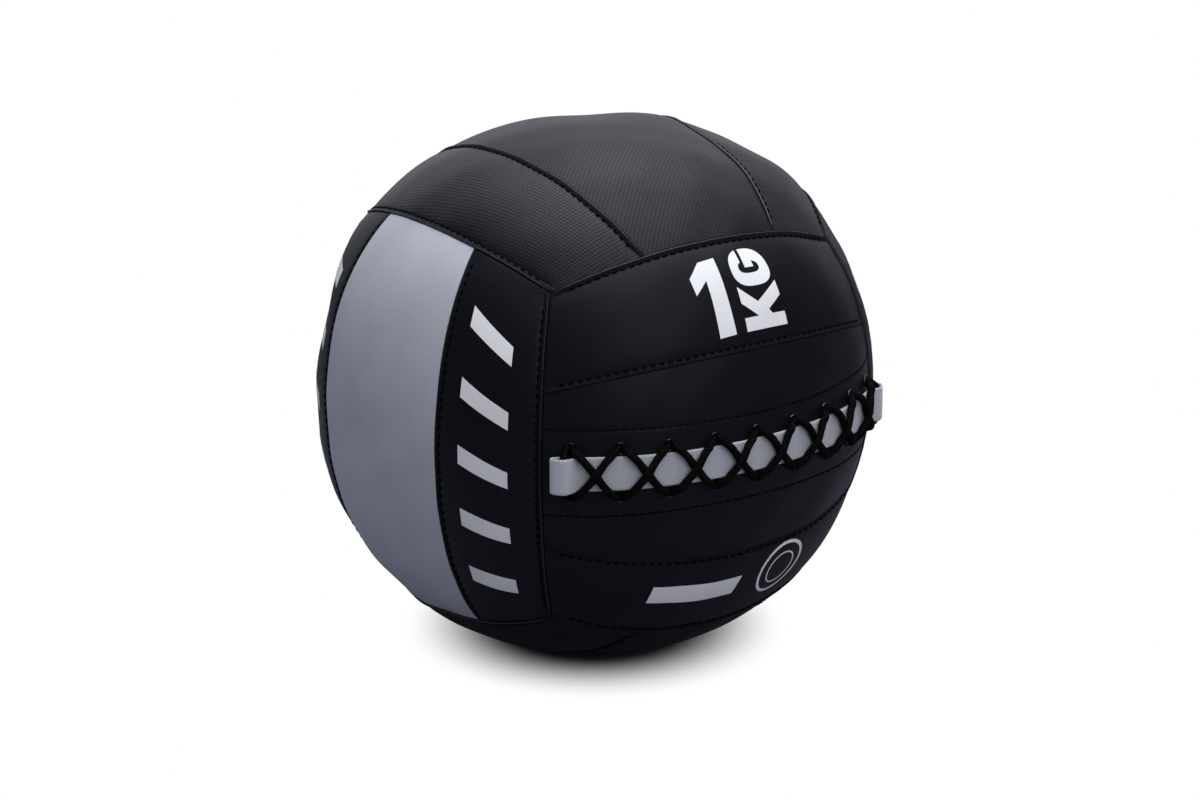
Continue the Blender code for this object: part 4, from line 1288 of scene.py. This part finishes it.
class BALL_OT_fold_tongue(bpy.types.Operator):
    """Lay the webbing tongue over the slit and fold its ends round the lace"""

    bl_idname = "ball.fold_tongue"
    bl_label = "Fold Tongue"

    def execute(self, context):
        line = tongue_line()
        way = unit(np.gradient(line, axis=0))
        normal = np.stack([-way[:, 1], way[:, 0]], axis=1)
        across = np.linspace(-TONGUE_WIDTH / 2, TONGUE_WIDTH / 2, TONGUE_COLUMNS)
        inset = TONGUE_WIDTH / 2 - np.abs(across)
        selvedge = bell(SELVEDGE_INSET - inset, SELVEDGE_WIDTH) * SELVEDGE_RISE
        edge = rounding(inset, TONGUE_EDGE_WIDTH) * TONGUE_THICKNESS * TONGUE_EDGE_SHARE
        half = TONGUE_THICKNESS / 2 + selvedge - edge
        layers = [line[:, None, :] + sign * normal[:, None, :] * half[None, :, None] for sign in (1, -1)]
        outer, inner = (on_front(layer[..., 0], across[None, :], layer[..., 1]) for layer in layers)
        run = run_along(line)
        places = np.stack(np.broadcast_arrays(run[:, None], across[None, :]), axis=-1)
        piece = slab("folded_tongue", outer, inner, webbing_look(context.scene.ball_colours.webbing), places)
        sharpen(piece, TONGUE_SHARP_TURN)
        settle(piece, "tongue_grey", "tongue")
        return {"FINISHED"}


# Lace
def from_frame(place, along, across, out):
    centre, along_way, across_way, out_way = place
    return np.array(centre + along_way * along + across_way * across + out_way * out)


class LaceRoute:
    """The lace's own points, with how far each is squeezed and the way it is squeezed."""

    def __init__(self):
        self.frames = {side: eyelet_frames(side) for side in (1, -1)}
        self.points = []

    def mouth(self, row, column, half):
        """Points from inside an eyelet's tube to its outer mouth."""
        place = self.frames[row][column]
        tube = from_frame(place, half * LACE_SPREAD, 0, -TUBE_SHARE * EYELET_REACH)
        mouth = from_frame(place, half * LACE_SPREAD, -row * MOUTH_SHIFT, MOUTH_HEIGHT)
        return [(tube, LACE_SQUEEZE_SHARE, place[1]), (mouth, LACE_SQUEEZE_SHARE, place[1])]

    def bow(self, row, column, half, middle, over):
        """From an eyelet to the middle of an outside run: up in an arch, aside and down again."""
        sizes = bpy.context.scene.lacing_sizes
        first = np.array((column_along(column) + half * LACE_SPREAD,
                          row * (EYELET_ROW_SPACING / 2 - MOUTH_SHIFT)))
        half_lace = sizes.lace_diameter / 2
        flat = CROSS_SQUEEZE_SHARE * half_lace
        top = TONGUE_LOW + TONGUE_THICKNESS / 2 + HALF_GAP + flat * (3 if over else 1)
        power, arch = (OVER_POWER, OVER_ARCH_SHARE) if over else (UNDER_POWER, 1)
        row_way = self.frames[row][column][1]
        points = self.mouth(row, column, half)
        for share in BOW_SHARES:
            spot = first * (1 - share) + middle * share
            aside = half * sizes.bow_aside * math.sin(math.pi * share ** BOW_POWER)
            height = MOUTH_HEIGHT + (top - MOUTH_HEIGHT) * share ** power
            height += arch * sizes.arch_rise * math.sin(math.pi * share ** BOW_POWER)
            along = spot[0] + aside
            press = max(0, share - CROSS_START_SHARE) / (1 - CROSS_START_SHARE)
            squeeze = 1 - (1 - CROSS_SQUEEZE_SHARE) * press
            clear = tongue_height(along) + TONGUE_THICKNESS / 2 + HALF_GAP + half_lace * squeeze
            if abs(spot[1]) < TONGUE_WIDTH / 2 + LACE_RADIUS and clear > height:
                height = clear
            flat_way = front_way(along, spot[1]) if press else row_way
            points.append((on_front(along, spot[1], height), squeeze, flat_way))
        return points

    def diagonal(self, start, end, over):
        """One outside run between two eyelets, on the tongue or over the run that is."""
        middle = sum(np.array((column_along(column) + half * LACE_SPREAD, row * EYELET_ROW_SPACING / 2))
                     for row, column, half in (start, end)) / 2
        first = self.bow(*start, middle, over)
        last = self.bow(*end, middle, over)
        self.points += first + last[-2::-1]

    def bar(self, column, start_row, half):
        """The outside run straight across the slit, inside the tongue's fold."""
        middle = bar_along(1 if column else -1)
        height = TONGUE_LOW + FOLD_HEIGHT / 2
        run = []
        row_way = self.frames[start_row][column][1]
        for row, order in ((start_row, 1), (-start_row, -1)):
            edge = np.array(on_front(middle, row * TONGUE_WIDTH / 2, height))
            part = self.mouth(row, column, half)
            bend = part[-1][0] * (1 - BAR_BEND_SHARE) + edge * BAR_BEND_SHARE
            bend += np.array(self.frames[row][column][3]) * BAR_LIFT
            part += [(bend, BAR_BEND_SQUEEZE_SHARE, row_way), (edge, 1.0, row_way)]
            part += [(on_front(middle, row * TONGUE_WIDTH / 4, height), 1.0, row_way)]
            run += part[::order]
        self.points += run

    def inside_end(self, row, column, half, deep):
        """Points from inside an eyelet's tube out of its inner mouth."""
        below = EYELET_REACH + CLEARANCE
        run, drop = (LACE_RADIUS, LACE_CROSS_RISE) if deep else (LACE_BEND_RUN, LACE_RADIUS)
        place = self.frames[row][column]
        mouth = from_frame(place, half * LACE_SPREAD, 0, -below)
        bend = from_frame(place, half * LACE_SPREAD, -row * run, -below - drop)
        return [(mouth, LACE_SQUEEZE_SHARE, place[1]), (bend, INSIDE_BEND_SQUEEZE_SHARE, place[1])]

    def inside(self, start, end, deep):
        """A whole inside run between the two eyelets of one column."""
        sag = GIRTH_RADIUS * (1 - math.cos(math.hypot(EYELET_PITCH, HEM_REACH) / FACE_RADIUS / 2))
        depth = sag + EYELET_REACH + CLEARANCE + LACE_RADIUS + (LACE_CROSS_RISE if deep else 0)
        middle = on_front(column_along(start[1]), 0, -depth)
        row_way = self.frames[start[0]][start[1]][1]
        self.points += self.inside_end(*start, deep)
        self.points.append((middle, 1.0, row_way))
        self.points += self.inside_end(*end, deep)[::-1]

    def whole(self):
        """From knot to knot: out along one zigzag, round the far bar and back along the other."""
        last = EYELET_COLUMNS - 1
        low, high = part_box("lace_knot")
        knot = np.array((low + high) / 2)
        tails = []
        for row, half in ((-1, -1), (1, 1)):
            tail = self.inside_end(row, last, half, True)
            way = unit(tail[-1][0] - knot)
            end = knot + way * (KNOT_LENGTH / 2 + CLEARANCE)
            tail.append((end, TAIL_SQUEEZE_SHARE, self.frames[row][last][1]))
            tails.append(tail)
        self.points += tails[0][::-1]
        for column in range(last, 0, -1):
            self.diagonal((-1, column, -1), (1, column - 1, 1), False)
            self.inside((1, column - 1, 1), (-1, column - 1, -1), True)
        self.bar(0, -1, -1)
        for column in range(last):
            self.inside((1, column, -1), (-1, column, 1), False)
            self.diagonal((-1, column, 1), (1, column + 1, -1), True)
        self.inside((1, last, -1), (-1, last, 1), False)
        self.bar(last, -1, 1)
        self.points += tails[1]
        return self.points


def mix(place, first, last, low, high):
    """What lies at a place between two others, from what lies at those."""
    return (last - place) / (last - first) * low + (place - first) / (last - first) * high


def smooth_route(points):
    """Even steps along a smooth curve through the route's points."""
    places = np.array([point for point, squeeze, way in points])
    extras = np.array([(squeeze, *way) for point, squeeze, way in points])
    knots = np.concatenate([[0], np.cumsum(np.sqrt(np.linalg.norm(np.diff(places, axis=0), axis=1)))])
    ends = np.concatenate([[2 * places[0] - places[1]], places, [2 * places[-1] - places[-2]]])
    times_at = np.concatenate([[2 * knots[0] - knots[1]], knots, [2 * knots[-1] - knots[-2]]])
    fine, fine_extras = [], []
    for index in range(len(places) - 1):
        t0, t1, t2, t3 = times_at[index:index + 4]
        p0, p1, p2, p3 = ends[index:index + 4]
        steps = max(ROUTE_STEPS, int(np.linalg.norm(p2 - p1) / (LACE_STEP / ROUTE_STEPS)))
        for t in np.linspace(t1, t2, steps, endpoint=False):
            a1, a2, a3 = mix(t, t0, t1, p0, p1), mix(t, t1, t2, p1, p2), mix(t, t2, t3, p2, p3)
            fine.append(mix(t, t1, t2, mix(t, t0, t2, a1, a2), mix(t, t1, t3, a2, a3)))
            fine_extras.append(mix(t, t1, t2, extras[index], extras[index + 1]))
    fine = np.array(fine + [places[-1]])
    run = run_along(fine)
    spots = np.linspace(0, run[-1], int(run[-1] / LACE_STEP))
    table = np.concatenate([fine, np.array(fine_extras + [extras[-1]])], axis=1)
    even = np.stack([np.interp(spots, run, column) for column in table.T], axis=1)
    return even[:, :3], even[:, 3], unit(even[:, 4:]), spots


def carried_frames(line):
    """A line's own direction and two side directions that travel along it without twisting."""
    way = unit(np.gradient(line, axis=0))
    side = np.cross(way[0], ANY_WAY)
    sides = []
    for step in way:
        side = side - step * (side @ step)
        side /= np.linalg.norm(side)
        sides.append(side)
    sides = np.array(sides)
    return way, sides, np.cross(way, sides)


def braided_tube(name, look, line, squeeze, row_way, run):
    """A round braid swept along a line and squeezed flat where it shares an eyelet."""
    sizes = bpy.context.scene.lacing_sizes
    way, first, second = carried_frames(line)
    turns = np.arange(LACE_SIDES) / LACE_SIDES * 2 * math.pi
    lean = (math.pi * run / sizes.braid_pitch)[:, None]
    plaits = np.maximum(*(np.abs(np.sin(PLAITS * turns + sign * lean)) for sign in (1, -1)))
    crest = np.clip((plaits - CREST_START_SHARE) / (1 - CREST_START_SHARE), 0, 1)
    reach = sizes.lace_diameter / 2 + sizes.braid_relief * (plaits - PLAIT_MIDDLE_SHARE)
    around = (np.cos(turns)[None, :, None] * first[:, None, :]
              + np.sin(turns)[None, :, None] * second[:, None, :])
    spokes = around * (reach / (squeeze ** SPREAD_POWER)[:, None])[..., None]
    flat_way = square_to(row_way, way)[:, None, :]
    across = (spokes * flat_way).sum(axis=-1, keepdims=True)
    spokes = spokes - (1 - squeeze ** FLATTEN_POWER)[:, None, None] * across * flat_way
    points = np.concatenate([(line[:, None, :] + spokes).reshape(-1, 3), line[:1], line[-1:]])
    count = len(line) * LACE_SIDES
    index = np.arange(count).reshape(-1, LACE_SIDES)
    following = np.roll(index, -1, axis=1)
    quads = np.stack([index[:-1], following[:-1], following[1:], index[1:]], axis=-1).reshape(-1, 4)
    caps = [[*pair, count] for pair in zip(following[0], index[0])]
    caps += [[*pair, count + 1] for pair in zip(index[-1], following[-1])]
    faces = quads.tolist() + caps
    piece = new_piece(name, points, faces, look)
    mark_points(piece, "crest", np.concatenate([crest.ravel(), (0, 0)]))
    return piece


class BALL_OT_thread_lace(bpy.types.Operator):
    """Thread the one long braided lace through all the eyelets"""

    bl_idname = "ball.thread_lace"
    bl_label = "Thread Lace"

    def execute(self, context):
        colours = context.scene.ball_colours
        route = smooth_route(LaceRoute().whole())
        piece = braided_tube("braided_lace", lace_look(colours.cord, colours.fleck), *route)
        settle(piece, "cord_black", "lace")
        print("lace: %.3f m" % route[-1][-1])
        return {"FINISHED"}


# Printed marks: heights, length, height and lean of bars, radius and width of rings, places in degrees
NUMERAL_HEIGHT = 47 * MM
UNIT_HEIGHT = 33.8 * MM
SLANTED_BAR = (13 * MM, 32 * MM, 14 * MM)
TAG_BAR = (68 * MM, 14 * MM, 4 * MM)
RINGS = {"outer_ring": (20 * MM, 2.2 * MM), "inner_ring": (12 * MM, 1 * MM)}
FILM = 0.18 * MM
NUMERAL_PLACE = (-6.7, 25.0)
NUMERAL_TURN = 0.045
UNIT_PLACE = (11.95, 25.2)
TAG_PLACE = (-11.1, -30.8)
RINGS_PLACE = (13, -30.0)
BARS_ALONG = (-30, -15, 0, 15, 30)
BARS_ACROSS = {"left_panel_front": -33.0, "left_panel_rear": 33.0,
               "right_panel_front": -33.0, "right_panel_rear": 33.0}
RING_SIDES = 72
ARC_POINTS = 44
ARC_POWER = 0.78
UNIT_STRETCH_SHARES = (1.075, 1.02)


def flat_shape(name, outlines):
    """A flat filled mesh from closed outlines, laid on the table at the origin."""
    curve = bpy.data.curves.new(name, "CURVE")
    curve.dimensions = "2D"
    curve.fill_mode = "BOTH"
    for outline in outlines:
        spline = curve.splines.new("POLY")
        spline.points.add(len(outline) - 1)
        for target, (along, across) in zip(spline.points, outline):
            target.co = (along, across, 0, 1)
        spline.use_cyclic_u = True
    piece = bpy.data.objects.new(name, curve)
    bpy.context.scene.collection.objects.link(piece)
    select_only(piece)
    bpy.ops.object.convert(target="MESH")
    piece = bpy.context.object
    bpy.ops.object.mode_set(mode="EDIT")
    bpy.ops.mesh.select_all(action="SELECT")
    bpy.ops.mesh.remove_doubles(threshold=NEAR)
    points = np.array([vertex.co for vertex in piece.data.vertices])
    for axis, normal in ((0, (1, 0, 0)), (1, (0, 1, 0))):
        for place in np.arange(points[:, axis].min() + MARK_STEP / 2, points[:, axis].max(), MARK_STEP):
            bpy.ops.mesh.select_all(action="SELECT")
            bpy.ops.mesh.bisect(plane_co=np.array(normal) * place, plane_no=normal)
    bpy.ops.object.mode_set(mode="OBJECT")
    return piece


def print_on(piece, strip, centre, turn):
    """Lays a flat mark on a strip: its centre in degrees, its own x and y turned on the strip."""
    select_only(piece)
    points = np.array([vertex.co for vertex in piece.data.vertices])
    cos, sin = math.cos(turn), math.sin(turn)
    along = points[:, 0] * cos - points[:, 1] * sin
    across = points[:, 0] * sin + points[:, 1] * cos
    along_turn = math.radians(centre[0]) + along / FACE_RADIUS
    across_turn = math.radians(centre[1]) + across / FACE_RADIUS
    placed, _ = strip.skin(along_turn, across_turn, FILM)
    for vertex, point in zip(piece.data.vertices, placed):
        vertex.co = point
    piece.data.update()
    wall = piece.modifiers.new("Film", "SOLIDIFY")
    wall.thickness = FILM / 2
    wall.offset = 0
    bpy.ops.object.modifier_apply(modifier=wall.name)
    bpy.ops.object.mode_set(mode="EDIT")
    bpy.ops.mesh.select_all(action="SELECT")
    bpy.ops.mesh.normals_make_consistent(inside=False)
    bpy.ops.object.mode_set(mode="OBJECT")
    piece.data.materials.clear()
    piece.data.materials.append(plain_look("white_print", bpy.context.scene.ball_colours.mark))
    settle(piece, strip_look(strip.node)[1])


def bar_outline(length, height, lean):
    """A bar whose ends lean over."""
    half, shift = length / 2, lean / 2
    return [(-half - shift, -height / 2), (half - shift, -height / 2), (half + shift, height / 2),
            (-half + shift, height / 2)]


def ring_outlines(radius, width):
    turns = np.linspace(0, 2 * math.pi, RING_SIDES, endpoint=False)
    return [[(size * math.cos(turn), size * math.sin(turn)) for turn in turns]
            for size in (radius, radius - width)]


def numeral_outline(height):
    """A plain upright one, with its flag at the left of its stem."""
    outline = [(0, 0), (0.27, 0), (0.27, 1), (-0.04, 1), (-0.262, 0.825), (-0.225, 0.59), (0, 0.745)]
    return [(x * height, y * height) for x, y in outline]


def round_arc(centre, half, first, last):
    """Points of an upright rounded oval, from one angle in degrees to another."""
    points = []
    for turn in np.radians(np.linspace(first, last, ARC_POINTS)):
        cos, sin = (math.copysign(abs(part) ** ARC_POWER, part) for part in (math.cos(turn), math.sin(turn)))
        points.append((centre[0] + half[0] * cos, centre[1] + half[1] * sin))
    return points


def unit_outlines(height):
    """A plain block k and g side by side, both as tall as given."""
    k_letter = [(0, 0), (0.221, 0), (0.221, 0.31), (0.296, 0.38), (0.497, 0), (0.745, 0), (0.45, 0.6),
                (0.743, 1), (0.467, 1), (0.221, 0.66), (0.221, 1), (0, 1)]
    outer = round_arc((1.037, 0.5), (0.327, 0.5), 18, 368)
    spur = [(1.03, 0.615), (1.03, 0.375)]
    inner = round_arc((1.037, 0.5135), (0.108, 0.2735), 336, 36)
    g_letter = outer + spur + inner
    wide, tall = (share * height for share in UNIT_STRETCH_SHARES)
    return [[(x * wide, y * tall) for x, y in letter] for letter in (k_letter, g_letter)]


class BALL_OT_print_marks(bpy.types.Operator):
    """Print the weight, the slanted bars, the tag and the rings"""

    bl_idname = "ball.print_marks"
    bl_label = "Print Marks"

    def execute(self, context):
        by_node = {strip.node: strip for strip in strips()}
        upper, lower = "front_panel_upper", "front_panel_lower"
        marks = [("weight_numeral", [numeral_outline(NUMERAL_HEIGHT)], upper, NUMERAL_PLACE, NUMERAL_TURN),
                 ("weight_unit", unit_outlines(UNIT_HEIGHT), upper, UNIT_PLACE, 2 * QUARTER)]
        for node, across in BARS_ACROSS.items():
            for index, along in enumerate(BARS_ALONG):
                name = "slanted_bar_%s_%d" % (node, index + 1)
                marks.append((name, [bar_outline(*SLANTED_BAR)], node, (along, across), 0))
        marks.append(("blank_tag", [bar_outline(*TAG_BAR)], lower, TAG_PLACE, 0))
        for name, size in RINGS.items():
            marks.append((name, ring_outlines(*size), lower, RINGS_PLACE, 0))
        for name, outlines, node, centre, turn in marks:
            print_on(flat_shape(name, outlines), by_node[node], centre, turn)
        return {"FINISHED"}


# Filling
class BALL_OT_finish_filling(bpy.types.Operator):
    """Give the padding, bag, fill, ballast and facings their finish"""

    bl_idname = "ball.finish_filling"
    bl_label = "Finish Filling"

    def execute(self, context):
        colours = context.scene.ball_colours
        looks = {
            "pad": ("open_foam", colours.foam),
            "inner_bag": ("cotton_bag", colours.cotton),
            "ballast_pouch": ("cotton_pouch", colours.cotton),
            "fibre_fill": ("fibre_wool", colours.fibre),
            "ballast": ("sand_grains", colours.sand),
            "ballast_tie": ("tie_cord", colours.cord),
            "lace_knot": ("knot_cord", colours.cord),
            "facing": ("facing_cloth", times(colours.black, FACING_SHADE)),
        }
        for name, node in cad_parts.items():
            kind = "pad" if "_pad" in name else "facing" if "facing" in name else name
            if kind in looks:
                node.data.materials.clear()
                node.data.materials.append(plain_look(*looks[kind]))
        return {"FINISHED"}


# Stage: lamps' places and sizes in metres, the floor's painted shadow by distance from the ball, and the
# camera
FLOOR_SIZE = 9
TOP_LAMP = ((0.14, 0.0, 1.36), (1.6, 1.3))
FRONT_LAMP = ((-0.1, -1.5, 1.0), (1.0, 1.0))
PAINTED_SHADOW_REACH = (45 * MM, 170 * MM)
PAINTED_SHADOW_SHARES = (0.06, 0.97)
WHITE_REACH = (60 * MM, 128 * MM)
BACKDROP_RISE_SHARE = 0.35
BACKDROP_SHARES = (0.45, 1.0)
SENSOR_WIDTH_MM = 36
CAMERA_SHIFT_SHARES = (0.00465, -0.01546)


def rays(tree):
    """Whether a ray comes from the camera, straight or through a gap, and whether it is a reflection."""
    path = add(tree, "ShaderNodeLightPath").outputs
    return sums(tree, "MAXIMUM", path["Is Camera Ray"], path["Is Transmission Ray"]), path["Is Glossy Ray"]


def floor_look():
    """Pale floor: it keeps the ball's shadow and adds a painted one near it; past that it is as white as the
    background.
    """
    settings = bpy.context.scene.stage_settings
    look = bpy.data.materials.new("pale_floor")
    look.use_nodes = True
    tree = look.node_tree
    tree.nodes.remove(tree.nodes["Principled BSDF"])
    straight, glossy = rays(tree)
    seen = sums(tree, "MAXIMUM", straight, sums(tree, "MULTIPLY", glossy, settings.floor_shine))
    away = add(tree, "ShaderNodeVectorMath", {0: solid_places(tree)}, operation="LENGTH").outputs["Value"]
    # Painted shadow: the floor's own colour darkens towards the ball, under the real shadow
    painted_shadow = ranged(tree, away, *PAINTED_SHADOW_REACH, *PAINTED_SHADOW_SHARES, "SMOOTHSTEP")
    cloth = add(tree, "ShaderNodeBsdfDiffuse", {"Color": blend(tree, seen, (*settings.bounce, 1), painted_shadow)})
    white = add(tree, "ShaderNodeEmission", {"Color": (1, 1, 1, 1), "Strength": seen})
    far = ranged(tree, away, *WHITE_REACH, kind="SMOOTHSTEP")
    share = sums(tree, "MULTIPLY", far, seen)
    mixed = add(tree, "ShaderNodeMixShader", {"Fac": share, 1: cloth.outputs[0], 2: white.outputs[0]})
    tree.links.new(mixed.outputs[0], tree.nodes["Material Output"].inputs["Surface"])
    return look


def room_light(tree):
    """White behind the ball, dimmer in reflections of the near side, soft light from all round."""
    settings = bpy.context.scene.stage_settings
    side = settings.backdrop
    way = add(tree, "ShaderNodeTexCoord").outputs["Generated"]
    backdrop = (math.sin(side), -math.cos(side), BACKDROP_RISE_SHARE)
    behind = add(tree, "ShaderNodeVectorMath", {0: way, 1: backdrop}, operation="DOT_PRODUCT").outputs[1]
    mirrored = ranged(tree, behind, *BACKDROP_SHARES, settings.near_shine, 1.0, "SMOOTHSTEP")
    straight, glossy = rays(tree)
    shine = sums(tree, "MULTIPLY", glossy, mirrored)
    seen = [sums(tree, "MAXIMUM", straight, sums(tree, "MULTIPLY", shine, part))
            for part in settings.sky_tint]
    white = add(tree, "ShaderNodeCombineColor", dict(enumerate(seen))).outputs[0]
    glow = tuple(settings.sky * part for part in settings.sky_tint)
    found = sums(tree, "MAXIMUM", straight, glossy)
    tree.links.new(blend(tree, found, (*glow, 1), white), tree.nodes["Background"].inputs["Color"])


def area_lamp(name, place, size, power, tint):
    """A lamp that faces the ball's centre."""
    lamp = bpy.data.lights.new(name, "AREA")
    lamp.color = tint
    lamp.shape = "RECTANGLE"
    lamp.size, lamp.size_y = size
    lamp.energy = power
    holder = bpy.data.objects.new(name, lamp)
    holder.location = place
    aim = Vector((0, 0, CENTRE_HEIGHT)) - Vector(place)
    holder.rotation_euler = aim.to_track_quat("-Z", "Y").to_euler()
    bpy.context.scene.collection.objects.link(holder)


class BALL_OT_set_stage(bpy.types.Operator):
    """Set the floor, the room, the lamps and the camera"""

    bl_idname = "ball.set_stage"
    bl_label = "Set Stage"

    def execute(self, context):
        scene = context.scene
        settings = scene.stage_settings
        bpy.ops.object.select_all(action="DESELECT")
        bpy.ops.mesh.primitive_plane_add(size=FLOOR_SIZE)
        floor = context.object
        floor.name = "pale_floor"
        floor.data.materials.append(floor_look())

        world = bpy.data.worlds.new("pale_room")
        world.use_nodes = True
        room_light(world.node_tree)
        scene.world = world

        area_lamp("top_lamp", *TOP_LAMP, settings.key_power, settings.lamp_tint)
        area_lamp("front_lamp", *FRONT_LAMP, settings.front_power, (1, 1, 1))

        camera = bpy.data.objects.new("camera", bpy.data.cameras.new("camera"))
        scene.collection.objects.link(camera)
        back = Vector(compass(settings.azimuth, settings.elevation))
        camera.location = Vector((0, 0, CENTRE_HEIGHT)) + back * settings.distance
        camera.rotation_euler = (-back).to_track_quat("-Z", "Y").to_euler()
        camera.data.lens = settings.lens
        camera.data.sensor_width = SENSOR_WIDTH_MM
        camera.data.shift_x, camera.data.shift_y = CAMERA_SHIFT_SHARES
        scene.camera = camera
        scene.view_settings.view_transform = "Standard"
        return {"FINISHED"}


# Panel
class BALL_PT_parts(bpy.types.Panel):
    """Settings and building steps of the wall ball"""

    bl_label = "Wall Ball"
    bl_space_type = "VIEW_3D"
    bl_region_type = "UI"
    bl_category = "Wall Ball"

    def draw(self, context):
        layout = self.layout
        for group in ("cover_sizes", "lacing_sizes", "ball_colours", "stage_settings"):
            settings = getattr(context.scene, group)
            box = layout.box()
            for key in settings.__annotations__:
                box.prop(settings, key)
        for step in STEPS:
            layout.operator(step.bl_idname)


GROUPS = {"cover_sizes": CoverSizes, "lacing_sizes": LacingSizes, "ball_colours": BallColours,
          "stage_settings": StageSettings}
STEPS = (BALL_OT_sew_strips, BALL_OT_lay_flaps, BALL_OT_stitch_rows, BALL_OT_press_eyelets,
         BALL_OT_fold_tongue, BALL_OT_thread_lace, BALL_OT_print_marks, BALL_OT_finish_filling,
         BALL_OT_set_stage)


def register():
    for kind in (*GROUPS.values(), *STEPS, BALL_PT_parts):
        bpy.utils.register_class(kind)
    for name, kind in GROUPS.items():
        setattr(bpy.types.Scene, name, PointerProperty(type=kind))


def unregister():
    for name in GROUPS:
        delattr(bpy.types.Scene, name)
    for kind in (BALL_PT_parts, *reversed(STEPS), *GROUPS.values()):
        bpy.utils.unregister_class(kind)


def main():
    register()
    for step in STEPS:
        group, action = step.bl_idname.split(".")
        getattr(getattr(bpy.ops, group), action)()


if __name__ == "__main__":
    main()
